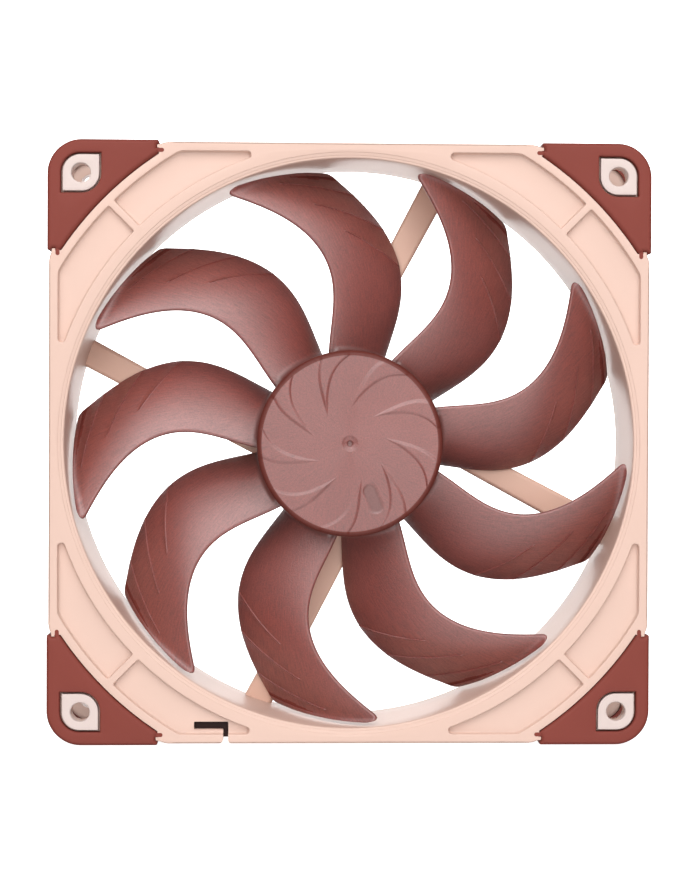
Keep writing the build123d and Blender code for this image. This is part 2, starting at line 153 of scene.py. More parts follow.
def mathNode(tree, operation, *values):
    return addNode(tree, "ShaderNodeMath", dict(enumerate(values)), operation=operation).outputs[0]


def mixNode(tree, share, first, second):
    return addNode(tree, "ShaderNodeMix", {0: share, 2: first, 3: second}).outputs[0]


def noiseNode(tree, vector, scale, detail, roughness=0.5):
    inputs = {"Vector": vector, "Scale": scale, "Detail": detail, "Roughness": roughness}
    return addNode(tree, "ShaderNodeTexNoise", inputs).outputs["Fac"]


def rangeNode(tree, value, fromRange, toRange=(0.0, 1.0)):
    inputs = {"Value": value, "From Min": fromRange[0], "From Max": fromRange[1],
              "To Min": toRange[0], "To Max": toRange[1]}
    return addNode(tree, "ShaderNodeMapRange", inputs).outputs["Result"]


def toneRamp(tree, share, base, positions, scales):
    # from one scaled tone of the base colour to another
    ramp = addNode(tree, "ShaderNodeValToRGB", {"Fac": share})
    for element, position, scale in zip(ramp.color_ramp.elements, positions, scales):
        element.position = position
        element.color = (*[min(c * scale, 1) for c in base], 1)
    return ramp.outputs["Color"]


def setBump(tree, shader, height, strength, depth):
    bump = addNode(tree, "ShaderNodeBump", {"Height": height, "Strength": strength, "Distance": depth})
    tree.links.new(bump.outputs["Normal"], shader.inputs["Normal"])


def mouldedPlastic(name, base, look):
    # plastic with slow colour drift, fine grain in its bump and uneven gloss
    material, tree, shader = newMaterial(name, base, look["roughness"], look["specular"])
    vector = objectVector(tree)
    drift = noiseNode(tree, vector, look["driftScale"], 3.0)
    grain = noiseNode(tree, vector, look["grainScale"], 4.0)
    both = mixNode(tree, look["grainShare"], drift, grain)
    tones = toneRamp(tree, both, base, (0.35, 0.65), (1 - look["drift"], 1 + look["drift"]))
    tree.links.new(tones, shader.inputs["Base Color"])
    glossRange = look["roughness"] - look["uneven"], look["roughness"] + look["uneven"]
    tree.links.new(rangeNode(tree, grain, (0.3, 0.7), glossRange), shader.inputs["Roughness"])
    setBump(tree, shader, grain, look["bump"], look["bumpDepth"])
    return material


def flowPlastic(name, base, look):
    # moulded plastic with fine speckle, faint flow streaks that run outwards from the axis, and painted shade
    # in a darker, rougher tone
    material, tree, shader = newMaterial(name, base, look["roughness"], look["specular"])
    shader.inputs["IOR"].default_value = look["ior"]
    vector = objectVector(tree)
    parts = addNode(tree, "ShaderNodeSeparateXYZ", {0: vector})
    x, z = parts.outputs["X"], parts.outputs["Z"]
    turn = mathNode(tree, "ARCTAN2", z, x)
    reach = mathNode(tree, "SQRT", mathNode(tree, "MULTIPLY_ADD", z, z, mathNode(tree, "MULTIPLY", x, x)))
    curl = mathNode(tree, "MULTIPLY_ADD", reach, look["curl"], turn)
    polar = addNode(tree, "ShaderNodeCombineXYZ", {0: curl, 1: reach}).outputs[0]
    spread = addNode(tree, "ShaderNodeMapping", {"Vector": polar, "Scale": look["streakScale"]}).outputs[0]
    streak = noiseNode(tree, spread, 1.0, 2.0)
    speckle = noiseNode(tree, vector, look["speckleScale"], 3.0, 0.7)
    drift = noiseNode(tree, vector, look["driftScale"], 2.0)
    mixed = mixNode(tree, look["driftShare"], mixNode(tree, look["streakShare"], speckle, streak), drift)
    tones = toneRamp(tree, mixed, base, (0.33, 0.67), look["tones"])
    # painted shade: a darker tone in a ring round the hub's edge, which takes in the blades' roots, and
    # wherever the mesh carries a painted shade value
    ring = mathNode(tree, "MULTIPLY", *[rangeNode(tree, reach, edge) for edge in look["ring"]])
    paintedShadeMark = addNode(tree, "ShaderNodeAttribute", attribute_name="paintedShade").outputs["Fac"]
    paintedShadeShare = mathNode(tree, "MAXIMUM", ring, paintedShadeMark)
    shade = addNode(tree, "ShaderNodeMix", {"Factor": paintedShadeShare, "A": tones, "B": (*look["paintedShadeTone"], 1)},
                    data_type="RGBA")
    tree.links.new(shade.outputs[2], shader.inputs["Base Color"])
    gloss = rangeNode(tree, mixed, (0.35, 0.65), look["glossRange"])
    tree.links.new(mathNode(tree, "MULTIPLY_ADD", paintedShadeShare, look["paintedShadeRough"], gloss), shader.inputs["Roughness"])
    setBump(tree, shader, mixed, look["bump"], look["bumpDepth"])
    return material


frameLook = dict(roughness=0.42, specular=0.42, driftScale=22.0, grainScale=2600.0, grainShare=0.25,
                 drift=0.015, uneven=0.05, bump=0.12, bumpDepth=0.00004)
padLook = dict(roughness=0.62, specular=0.22, driftScale=30.0, grainScale=3800.0, grainShare=0.4, drift=0.04,
               uneven=0.06, bump=0.2, bumpDepth=0.00004)
impellerLook = dict(
    roughness=0.4, specular=1.0, ior=1.62, curl=-9.0, streakScale=(150.0, 320.0, 1.0), speckleScale=2600.0,
    driftScale=60.0, streakShare=0.42, driftShare=0.15, tones=(0.55, 1.5), glossRange=(0.54, 0.4),
    # the ring and the darker tone below are painted shade round the hub's edge and on marked faces
    ring=((0.0202, 0.0208), (0.0231, 0.0223)), paintedShadeTone=linear(90, 32, 23), paintedShadeRough=0.1,
    bump=0.7, bumpDepth=0.00012,
)
# a copy of the impeller's plastic with less sheen, for faces where shade is painted
paintedShadeLook = {**impellerLook, "specular": 0.4, "ior": 1.5}
impellerTone = linear(117, 50, 42)

framePlastic = mouldedPlastic("peachPlastic", linear(206, 175, 161), frameLook)
impellerPlastic = flowPlastic("brownPlastic", impellerTone, impellerLook)
# the frame's plastic made warmer and redder for the mount behind the impeller: painted warm bounce light
paintedBouncePlastic = mouldedPlastic("peachPlasticPaintedBounce", linear(213, 175, 156), frameLook)
# a near-black copy for the sheet at the back of the lead slot: painted shade
slotShadePlastic = mouldedPlastic("darkPlasticPaintedShade", linear(40, 22, 20), padLook)
bossPlastic = mouldedPlastic("palePlastic", linear(200, 183, 177), frameLook)
# the duller copy: painted shade in the blades' hollows and round the hub's edge
paintedShadePlastic = flowPlastic("brownPlasticPaintedShade", impellerTone, paintedShadeLook)
padRubber = mouldedPlastic("brownRubber", linear(120, 55, 46), padLook)
print("materials made")


wheel = dict(
    hubR=21.7, tipR=65.3, blades=9, rootSink=0.8,
    leadAngles=(61.4, 55.8, 56.8, 65.3, 76.6),       # edge angles at equal steps from hub to tip, degrees
    trailAngles=(26.8, 28.9, 33.5, 43.1, 54.4),
    leadHeights=(4.5, 4.8, 5.6, 7.3, 9.3), trailHeight=-7.8,
    rootThickness=2.6, tipThickness=1.5, leadEdge=1.35, trailEdge=0.6, camber=1.3, swellPower=0.7,
    rootFillet=1.5, filletEnd=0.998, cornerR=1.8, cornerEnd=0.9999, cornerLead=2.0, cornerTrail=0.5,
    tipRound=0.4, tipThin=0.75,
    creaseIn=1.3, creaseEnd=0.25, creaseReach=1.7, creaseRise=0.5, creaseStep=0.4,    # strip along the tip
    fadeRate=1.7, fadePower=1.5, hollowFrom=0.2,
    ledgeInner=(44.4, 52.2, 59.7), ledgeOuter=(50.2, 57.0, 63.2), ledgeFrom=0.62,
    ledgeWidth=0.22, ledgeRise=0.34, ledgeRun=2.4, ledgeEnd=0.35,
    alongPoints=44, radialSteps=46, evenShare=0.45, capPoints=7, shearFrom=(25.0, 25.2), shearBend=0.25,
    ledgeLines=(-0.5, -0.28, -0.2, -0.12, -0.05, 0.05, 0.12, 0.2, 0.28, 0.5),
    creaseLines=(-1.7, -1.4, -1.1, -0.8, -0.5, -0.2, -0.06, 0.0, 0.06, 0.12, 0.18, 0.25, 0.4, 0.6),
    stopLines=(-0.012, 0.0, 0.012, 0.03),
)


def bladeLaw(values, radius, degree=4):
    # a polynomial in the radius through values at equal steps from hub to tip
    share = np.linspace(0, 1, len(values))
    law = np.polyfit(share, values, degree)
    return np.polyval(law, (radius - wheel["hubR"]) / (wheel["tipR"] - wheel["hubR"]))


def bladeStations():
    # radial lines as pairs (radius at the trailing edge, radius from ledgeFrom to the leading edge):
    # even steps, with close lines on both sides of each ledge, the tip strip and the rounded tip
    w = wheel
    start = w["hubR"] - w["rootSink"]
    crease = w["tipR"] - w["creaseIn"]
    keysIn = np.array([start, w["hubR"], w["shearFrom"][0], *w["ledgeInner"], crease, w["tipR"]])
    keysOut = np.array([start, w["hubR"], w["shearFrom"][1], *w["ledgeOuter"], w["tipR"] - w["creaseEnd"],
                        w["tipR"]])
    inner = np.concatenate([
        np.linspace(start, w["hubR"], 3)[:-1],
        w["hubR"] + w["rootFillet"] * (1 - np.cos(np.linspace(0, pi / 2, 8)[:-1])),
        np.linspace(w["hubR"] + w["rootFillet"], w["tipR"] - w["tipRound"], w["radialSteps"]),
        w["tipR"] - w["tipRound"] * (1 - np.sin(np.linspace(0, pi / 2, 6)[1:])),
    ])
    lines = [value + np.array(w["ledgeLines"]) for value in w["ledgeInner"]]
    extra = np.concatenate([*lines, crease + np.array(w["creaseLines"])])
    # an even line close to one of the extra lines is left out, except at the tip and the root
    keep = np.abs(extra[None, :] - inner[:, None]).min(1) > 0.3
    keep |= (inner > w["tipR"] - w["tipRound"] - 0.01) | (inner < w["hubR"] + 2)
    inner = np.unique(np.round(np.concatenate([inner[keep], extra]), 4))
    return inner, np.interp(inner, keysIn, keysOut)


def bladeGrid():
    # a closed section carried outwards: chord from trailing to leading edge on the cylinder of each radius,
    # bowed by camber * 4u(1-u), thickened by (4u(1-u))^swellPower, with half circles round both edges
    w = wheel
    inner, outer = bladeStations()
    u = (1 - np.cos(np.linspace(0, pi, w["alongPoints"]))) / 2
    u = (1 - w["evenShare"]) * u + w["evenShare"] * np.linspace(0, 1, w["alongPoints"])
    u = np.unique(np.round(np.append(u, w["ledgeFrom"] + np.array(w["stopLines"])), 5))
    cap = np.linspace(0, pi, w["capPoints"] + 2)[1:-1]
    loopU = np.concatenate([u, np.ones(cap.size), u[::-1], np.zeros(cap.size)])
    side = np.concatenate([np.ones(u.size), np.cos(cap), -np.ones(u.size), -np.cos(cap)])
    reach = np.concatenate([np.zeros(u.size), np.sin(cap), np.zeros(u.size), -np.sin(cap)])

    ramp = np.clip(loopU / w["ledgeFrom"], 0, 1)
    ramp = ramp * (1 - w["shearBend"] * (1 - ramp))
    radius = inner[:, None] + (outer - inner)[:, None] * ramp[None, :]
    lead = np.radians(bladeLaw(w["leadAngles"], radius))
    trail = np.radians(bladeLaw(w["trailAngles"], radius))
    # round the corner where the leading edge meets the tip, stopping just short of a square end
    nearTip = np.clip((radius - (w["tipR"] - w["cornerR"])) / w["cornerR"], 0, 1)
    rounding = w["cornerR"] * (1 - np.sqrt(1 - nearTip ** 2 * w["cornerEnd"])) / radius
    lead = lead - rounding * w["cornerLead"]
    trail = trail + rounding * w["cornerTrail"]
    rise = bladeLaw(w["leadHeights"], radius, 2) - w["trailHeight"]
    span = radius * (lead - trail)
    chord = np.hypot(span, rise)
    alongS, alongH = span / chord, rise / chord
    acrossS, acrossH = -alongH, alongS

    share = np.clip((radius - w["hubR"]) / (w["tipR"] - w["hubR"]), 0, 1)
    swell = w["rootThickness"] + (w["tipThickness"] - w["rootThickness"]) * share
    body = w["trailEdge"] + (w["leadEdge"] - w["trailEdge"]) * loopU
    bow4 = 4 * loopU * (1 - loopU)
    half = (body + (swell - w["leadEdge"]) * bow4 ** w["swellPower"]) / 2
    # fillet at the root: both faces flare outwards by the rest of a quarter circle
    toHub = np.clip((radius - w["hubR"]) / w["rootFillet"], 0, 1)
    flare = w["rootFillet"] * (1 - np.sqrt(1 - (1 - toHub) ** 2 * w["filletEnd"]))
    # rounded tip: the thickness closes over the last fraction of a millimetre
    tipIn = np.clip((radius - (w["tipR"] - w["tipRound"])) / w["tipRound"], 0, 1)
    half = half * np.sqrt(1 - w["tipThin"] * tipIn ** 2)
    flare = flare * smoothStep(0, 0.05, loopU) * smoothStep(0, 0.05, 1 - loopU)

    # raised strip along the tip: the blade curls up to a line that nears the tip at ledgeFrom, flat beyond
    creaseR = w["tipR"] - w["creaseIn"] + (w["creaseIn"] - w["creaseEnd"]) * ramp
    curl = np.clip((radius - creaseR) / w["creaseReach"] + 1, 0, 1)
    fade = np.clip(w["fadeRate"] * (1 - loopU / w["ledgeFrom"]), 0, 1) ** w["fadePower"]
    lift = (w["creaseRise"] * curl ** 2 + w["creaseStep"] * smoothStep(0, 0.12, radius - creaseR)) * fade

    # low ledges on the front, along the sheared radial lines: the face rises at each line and falls
    # back outside it, over a width that grows from nothing towards the trailing edge
    ledge = np.zeros_like(radius)
    run = w["ledgeWidth"] + w["ledgeRun"] * np.clip(1 - loopU / w["ledgeFrom"], 0, 1)
    stop = 1 - smoothStep(w["ledgeFrom"] - 0.01, w["ledgeFrom"], loopU)
    for first, last in zip(w["ledgeInner"], w["ledgeOuter"]):
        beyondLine = radius - (first + (last - first) * ramp)[None, :]
        step = smoothStep(-w["ledgeWidth"] / 2, w["ledgeWidth"] / 2, beyondLine)
        ledge += w["ledgeRise"] * step * (1 - smoothStep(0.1, 0.1 + run, beyondLine)) * stop
    ledge *= np.clip(side, 0, 1) * (w["ledgeEnd"] + (1 - w["ledgeEnd"]) * smoothStep(0, 0.04, loopU))

    offset = w["camber"] * bow4 + side * (half + flare) + ledge
    along = loopU * chord + reach * half
    s = radius * trail + alongS * along + acrossS * offset
    height = w["trailHeight"] + alongH * along + acrossH * offset + lift
    angle = s / radius
    # share of painted shade: in the hollow inside the raised strip, on the front only
    paintedShade = curl ** 2 * (1 - smoothStep(-0.1, 0.1, radius - creaseR)) * fade * (side > 0.9)
    return radius, angle, height, paintedShade


def bladeFaces(rows, cols, start):
    # the swept quads, and strips that close root and tip between the front and back faces
    capPoints = wheel["capPoints"]
    alongCount = (cols - 2 * capPoints) // 2
    faces = [gridFaces(rows, cols, closeCols=True, start=start)]
    order = np.arange(cols)
    front = order[:alongCount]
    back = order[alongCount + capPoints:2 * alongCount + capPoints][::-1]
    for row in (0, rows - 1):
        a = start + row * cols + front
        b = start + row * cols + back
        faces.append(np.stack([a[:-1], a[1:], b[1:], b[:-1]], -1))
    return faces


def buildBlades():
    # one blade's grid, turned about the axis in equal steps
    w = wheel
    radius, angle, height, paintedShade = bladeGrid()
    rows, cols = radius.shape
    points, faces = [], []
    for blade in range(w["blades"]):
        turned = angle + 2 * pi * blade / w["blades"]
        points.append(toWorld(radius * np.cos(turned), height, radius * np.sin(turned)).reshape(-1, 3))
        faces += bladeFaces(rows, cols, blade * rows * cols)
    mesh = makeMesh("impellerBlades", np.concatenate(points), np.concatenate(faces))
    paintedShade = np.tile(paintedShade.ravel(), w["blades"])
    markPaintedShade(mesh, paintedShade)
    corner = np.empty(len(mesh.loops), np.int32)      # the hollow's deepest faces take the duller copy: more painted shade
    mesh.loops.foreach_get("vertex_index", corner)
    hollow = (paintedShade[corner.reshape(-1, 4)] > w["hollowFrom"]).all(1)
    addPiece("impellerBlades", mesh, "rotor", ("impeller",),
             [impellerPlastic, paintedShadePlastic], 50)
    mesh.polygons.foreach_set("material_index", hollow.astype(np.int32))


buildBlades()


hub = dict(
    r=wheel["hubR"], faceH=11.5, rimH=-8.1, edgeR=1.2, edgeFootH=9.5, innerR=20.45, capBackH=9.8,
    dimpleR=1.9, dimpleDepth=0.55, pitR=0.75, pitDepth=0.3,
    vanes=9, vaneRise=0.34, vaneSlope=1.0, vaneFade=2.5, vaneInR=7.3, vaneOutR=20.5, turnSteps=14,
    lineRadii=(7.3, 10.2, 13.5, 17.8, 20.6), lineAngles=(52.0, 40.0, 30.0, 20.0, 9.0),
    otherRadii=(7.3, 10.0, 12.5, 16.0, 18.8, 20.6), otherAngles=(52.6, 47.0, 42.0, 38.0, 34.0, 30.0),
    ovalAt=(5.4, -12.8), ovalLength=6.9, ovalWidth=3.0, ovalDepth=0.22, ovalPaintedShade=0.7,
    middleRings=(0.0, 0.25, 0.5, 0.62, 0.75, 0.9, 1.05, 1.25, 1.5, 1.75, 1.9, 2.0, 2.15, 2.5, 3.2, 4.2, 5.4,
                 6.4),
    edgeLines=(0.0, 0.015, 0.03, 0.05, 0.075, 0.1),      # shares of a crescent's width, close to its edges
)


def ovalDistance(x, z):
    # signed distance to the oval mark's outline, a stadium that points at the axis
    h = hub
    ox, oz = h["ovalAt"]
    reach = np.hypot(ox, oz)
    dx, dz = ox / reach, oz / reach
    along = (x - ox) * dx + (z - oz) * dz
    across = -(x - ox) * dz + (z - oz) * dx
    straight = (h["ovalLength"] - h["ovalWidth"]) / 2
    return np.hypot(np.clip(np.abs(along) - straight, 0, None), across) - h["ovalWidth"] / 2


def hubFace():
    # grid of the front face: its lines follow two families of curves, and nine low crescents rise between
    # the first and the second; lift is each crescent's share of its full height
    h = hub
    facing = np.concatenate([h["middleRings"], np.arange(7.0, 20.3, 0.2), [20.35, 20.5]])
    edge = np.array(h["edgeLines"])
    evenly = np.linspace(edge[-1], 0.9, h["turnSteps"])
    share = np.unique(np.round(np.concatenate([edge, evenly, 1 - edge]), 5))
    inFace = np.clip(facing, h["vaneInR"], h["vaneOutR"])
    lineA = np.polyval(np.polyfit(h["lineRadii"], h["lineAngles"], 3), inFace)
    lineB = np.polyval(np.polyfit(h["otherRadii"], h["otherAngles"], 3), inFace)
    step = 360 / h["vanes"]
    raised = lineA[:, None] + (lineB - lineA)[:, None] * share[None, :]
    low = lineB[:, None] + (lineA + step - lineB)[:, None] * share[None, :-1]
    sector = np.concatenate([raised[:, :-1], low], 1)
    width = np.radians(lineB - lineA) * np.maximum(facing, 1)
    fromEdge = np.minimum(share[:-1], 1 - share[:-1])
    gap = width[:, None] * np.concatenate([fromEdge, np.zeros(share.size - 1)])[None, :]
    fade = smoothStep(h["vaneInR"] - 0.1, h["vaneInR"] + h["vaneFade"], facing)
    lift = smoothStep(0.0, h["vaneSlope"], gap) * fade[:, None]
    angle = np.radians(np.concatenate([sector + step * k for k in range(h["vanes"])], 1))
    return np.repeat(facing[:, None], angle.shape[1], 1), angle, np.tile(lift, (1, h["vanes"]))


def hubProfile():
    # (radius, height) pairs round the face's edge, down the side, round the rim and up the inside
    h = hub
    turn = np.linspace(0, pi / 2, 9)[1:]
    edge = h["edgeR"]
    profile = [(h["r"] - edge + edge * sin(t), h["faceH"] - edge + edge * cos(t)) for t in turn]
    profile += [(h["r"], v) for v in np.linspace(h["faceH"] - edge - 1.0, h["rimH"] + 0.3, 8)]
    profile += [(h["r"] - 0.08, h["rimH"] + 0.06), (h["r"] - 0.3, h["rimH"]), (h["innerR"] + 0.2, h["rimH"])]
    profile += [(h["innerR"], h["rimH"] + 0.2), (h["innerR"], h["capBackH"]), (0.0, h["capBackH"])]
    return np.array(profile), turn


def buildHub():
    # the front face, with the dimple, its pit and the oval mark sunk into it, and a turned profile behind it
    h = hub
    radius, angle, lift = hubFace()
    x, z = radius * np.cos(angle), radius * np.sin(angle)
    cone = h["dimpleDepth"] * np.clip(1 - (radius / h["dimpleR"]) ** 2, 0, 1)
    pit = h["pitDepth"] * (1 - smoothStep(0.7, 1.05, radius / h["pitR"]))
    oval = h["ovalDepth"] * (1 - smoothStep(-0.2, 0.2, ovalDistance(x, z)))
    height = h["faceH"] + h["vaneRise"] * lift - cone - pit - oval
    profile, turn = hubProfile()
    sideR = np.repeat(profile[:, :1], angle.shape[1], 1)
    sideH = np.repeat(profile[:, 1:], angle.shape[1], 1)
    sideH[:turn.size] += h["vaneRise"] * np.cos(turn)[:, None] * lift[-1][None, :]
    x = np.concatenate([x, sideR * np.cos(angle[-1])])
    z = np.concatenate([z, sideR * np.sin(angle[-1])])
    points = toWorld(x, np.concatenate([height, sideH]), z)
    mesh = makeMesh("impellerHub", points, gridFaces(*points.shape[:2], closeCols=True))
    addPiece("impellerHub", mesh, "rotor", ("impeller",),
             [impellerPlastic, paintedShadePlastic], 45)
    # faces round the hub's rounded front edge take the duller copy: painted shade
    x, y, z = readPlaces(mesh.polygons, "center")
    onEdge = (np.hypot(x, z) > h["r"] - h["edgeR"]) & (y < -h["edgeFootH"])
    mesh.polygons.foreach_set("material_index", onEdge.astype(np.int32))
    # share of painted shade: in the pit and on the floor of the oval mark
    x, y, z = readPlaces(mesh.vertices, "co")
    onOval = h["ovalPaintedShade"] * (1 - smoothStep(-0.1, 0.1, ovalDistance(x, z)))
    paintedShade = np.maximum(onOval, 1 - smoothStep(0.5, 0.8, np.hypot(x, z)))
    markPaintedShade(mesh, paintedShade * (y < 0))


buildHub()


house = dict(
    faceH=12.1, backH=7.9, half=69.6, boreR=66.1, ringR=68.4, seatH=10.45,
    stepRadii=(66.8, 67.5), stepDepth=0.3, plainH=6.0, outletRound=0.3,
    lipR=69.9, lipNarrowR=68.2, pocketR=78.2, railAt=67.5, pocketDepth=1.4, ribHalf=0.8, tipRound=0.9,
    bendRound=0.6, cornerRound=0.5,
    padArcR=80.1, padEnd=44.35, coreHalf=68.15, coreRound=6.2, taperLength=1.9, taperDrop=0.7,
    edgeRound=0.4, wallTop=0.25, wallFoot=0.5, backRound=0.2, ringFillet=0.35,
    holeAt=62.25, holeR=2.2, ribLineR=74.0, tabAt=68.48, tabHalf=0.36, tabReach=0.38, tabRound=0.12,
    beyond=13.5, cutEnd=95.0,                  # where cuts end, outside the frame
)
lineSteps = dict(      # close grid lines, across walls in mm or round the frame in degrees
    wall=(-0.22, -0.15, -0.07, 0.0, 0.03, 0.10, 0.14, 0.22, 0.36, 0.6),
    seat=(-0.12, -0.04, 0.0, 0.03), seatDrops=(0.0, 0.03, 0.12),
    pocketTip=(18.2, 20.9, 0.15), bend=(29.2, 29.8, 30.2, 30.6, 31.2),
    padEnd=(-1.3, -0.9, -0.6, -0.35, -0.2, -0.1, -0.04, -0.012, 0.012, 0.04, 0.15, 0.5),
)


def roundMax(a, b, radius):
    # the greater of two signed distances, with the corner between them rounded
    corner = np.hypot(np.maximum(a + radius, 0), np.maximum(b + radius, 0)) - radius
    return np.where((a > -radius) & (b > -radius), corner, np.maximum(a, b))


def pocketDistance(x, z):
    # signed distance to the pockets' outline, negative inside: between two circles about the axis,
    # inside the rails, off the diagonal ribs, and round at the narrow tips
    h = house
    big, small = np.maximum(np.abs(x), np.abs(z)), np.minimum(np.abs(x), np.abs(z))
    r = np.hypot(x, z)
    shape = roundMax(r - h["pocketR"], big - h["railAt"], h["bendRound"])
    shape = roundMax(shape, h["ribHalf"] - (big - small) / np.sqrt(2), h["cornerRound"])
    shape = roundMax(shape, h["lipR"] - r, h["cornerRound"])
    tipBig = h["railAt"] - h["tipRound"]
    tipSmall = np.sqrt((h["lipR"] + h["tipRound"]) ** 2 - tipBig ** 2)
    tip = np.hypot(big - tipBig, small - tipSmall) - h["tipRound"]
    return np.where(small < tipSmall, np.maximum(shape, tip), shape)


def faceHeight(x, z):
    # the flange's face: pocket walls with a rounded top and a filleted foot, and the seats of the pads
    h = house
    quarter = np.linspace(0, pi / 2, 9)
    wallTop = lineSteps["wall"][0] + h["wallTop"] * np.sin(quarter)
    wallFoot = 0.1 + h["wallFoot"] * (1 - np.cos(quarter))
    drop = np.concatenate([h["wallTop"] * (1 - np.cos(quarter)),
                           h["pocketDepth"] - h["wallFoot"] * (1 - np.sin(quarter))])
    pocket = np.interp(-pocketDistance(x, z), np.concatenate([wallTop, wallFoot]), drop)
    small = np.minimum(np.abs(x), np.abs(z))
    seat = np.maximum(h["padArcR"] - np.hypot(x, z), h["padEnd"] - small)
    lower = np.interp(-seat, lineSteps["seat"], [*lineSteps["seatDrops"], h["faceH"] - h["seatH"]])
    return h["faceH"] - np.maximum(pocket, lower)


def quadrantLines():
    # grid lines of one quadrant in degrees: even ones, and close ones at pocket ends, ribs and pad ends
    h = house
    even = np.arange(0.5, 90, 1.0)
    endAngle = np.degrees(np.arcsin(h["padEnd"] / h["padArcR"]))
    ribSteps = h["ribHalf"] + np.concatenate([[-0.8, -0.5], lineSteps["wall"], [1.0, 1.6]])
    close = np.concatenate([np.arange(*lineSteps["pocketTip"]), lineSteps["bend"],
                            endAngle + lineSteps["padEnd"], 45 - np.degrees(ribSteps / h["ribLineR"])])
    close = np.concatenate([close, 90 - close])
    even = even[np.abs(close[None, :] - even[:, None]).min(1) > 0.5]
    return np.unique(np.round(np.concatenate([even, close]), 4))


def lineAngles(base, radius):
    # angle of a grid line at a radius: parallel to the rib near the diagonal, along the pad's end
    # outside its arc, and radial elsewhere
    h = house
    off = base - 45
    parallel = np.degrees(np.arcsin(np.clip(h["ribLineR"] * np.radians(off) / radius, -1, 1)))
    off = off + (parallel - off) * (1 - smoothStep(1.8, 3.5, np.abs(off)))
    folded = 45 - np.abs(off)
    atArc = np.degrees(np.arcsin(h["padEnd"] / h["padArcR"]))
    shift = np.degrees(np.arcsin(h["padEnd"] / np.maximum(radius, h["padArcR"]))) - atArc
    folded = folded + shift * (1 - smoothStep(0.3, 4.0, np.abs(folded - atArc)))
    return 45 + np.sign(off) * (45 - folded)


def outerRadius(base):
    # where a grid line meets the frame's side: a square that slopes in to meet each pad, and under the
    # pad a smaller square with round corners; found in rounds, as the line's angle depends on the radius
    h = house
    r = np.full(base.shape, 80.0)
    centre = h["coreHalf"] - h["coreRound"]
    for _ in range(16):
        a = np.radians(45 - np.abs(lineAngles(base, r) - 45))
        along = r * np.sin(a)
        slope = np.clip((along - h["padEnd"] + h["taperLength"]) / h["taperLength"], 0, 1)
        side = np.where(along < h["padEnd"], h["half"] - h["taperDrop"] * slope, h["coreHalf"])
        flat = side / np.cos(a)
        reach = centre * (np.cos(a) + np.sin(a))
        corner = reach + np.sqrt(np.maximum(reach ** 2 - 2 * centre ** 2 + h["coreRound"] ** 2, 0))
        r = np.where(flat * np.sin(a) > centre, corner, flat)
    return r


def flangeFace(base):
    # stations across one flange's face, from the lip to the outer edge, as radii for each grid line
    h = house
    folded = np.radians(45 - np.abs(base - 45))
    rail = h["railAt"] / np.cos(folded)
    grown = (rail - h["railAt"]) / (h["lipR"] - h["railAt"])
    inside = np.minimum(h["lipR"], h["lipNarrowR"] + (h["lipR"] - h["lipNarrowR"]) * grown)
    outside = np.maximum(np.minimum(rail, h["pocketR"]), inside + 0.06)
    squeeze = np.minimum(1, (outside - inside) / 2 / 0.75)
    side = outerRadius(base)
    arcR = np.minimum(h["padArcR"], side - h["edgeRound"] - 0.25)
    steps = np.array(lineSteps["wall"])[None, :]
    steps = np.where(steps > 0, steps * squeeze, steps)
    rows = [inside + steps, (inside + outside) / 2, (outside - steps)[:, ::-1]]
    rows += [arcR + np.array(lineSteps["seat"]), (arcR + side) / 2]
    return np.concatenate(rows, 1), side


def boreProfile():
    # (radius, height) pairs inside the ring: the bore and its two low steps in front, and the bore behind
    h = house
    floors = h["faceH"] - 2 * h["stepDepth"], h["faceH"] - h["stepDepth"]
    rise = h["stepDepth"] / 2
    inlet = [(0, h["plainH"]), (0, floors[0] - 0.5), (0.08, floors[0] - 0.2), (0.25, floors[0] - 0.03),
             (0.4, floors[0])]
    inlet = [(h["boreR"] + out, height) for out, height in inlet]
    for at, floor in zip(h["stepRadii"], floors):
        inlet += [(at - 0.14, floor), (at - 0.04, floor + 0.12 * rise), (at + 0.04, floor + 0.88 * rise),
                  (at + 0.14, floor + rise)]
    soft, bore = h["outletRound"], h["boreR"]
    outlet = [(bore + soft, -h["faceH"]), (bore + 0.3 * soft, -h["faceH"] + 0.3 * soft),
              (bore, -h["faceH"] + soft), (bore, -h["plainH"]), (bore, 0.0)]
    return inlet, outlet


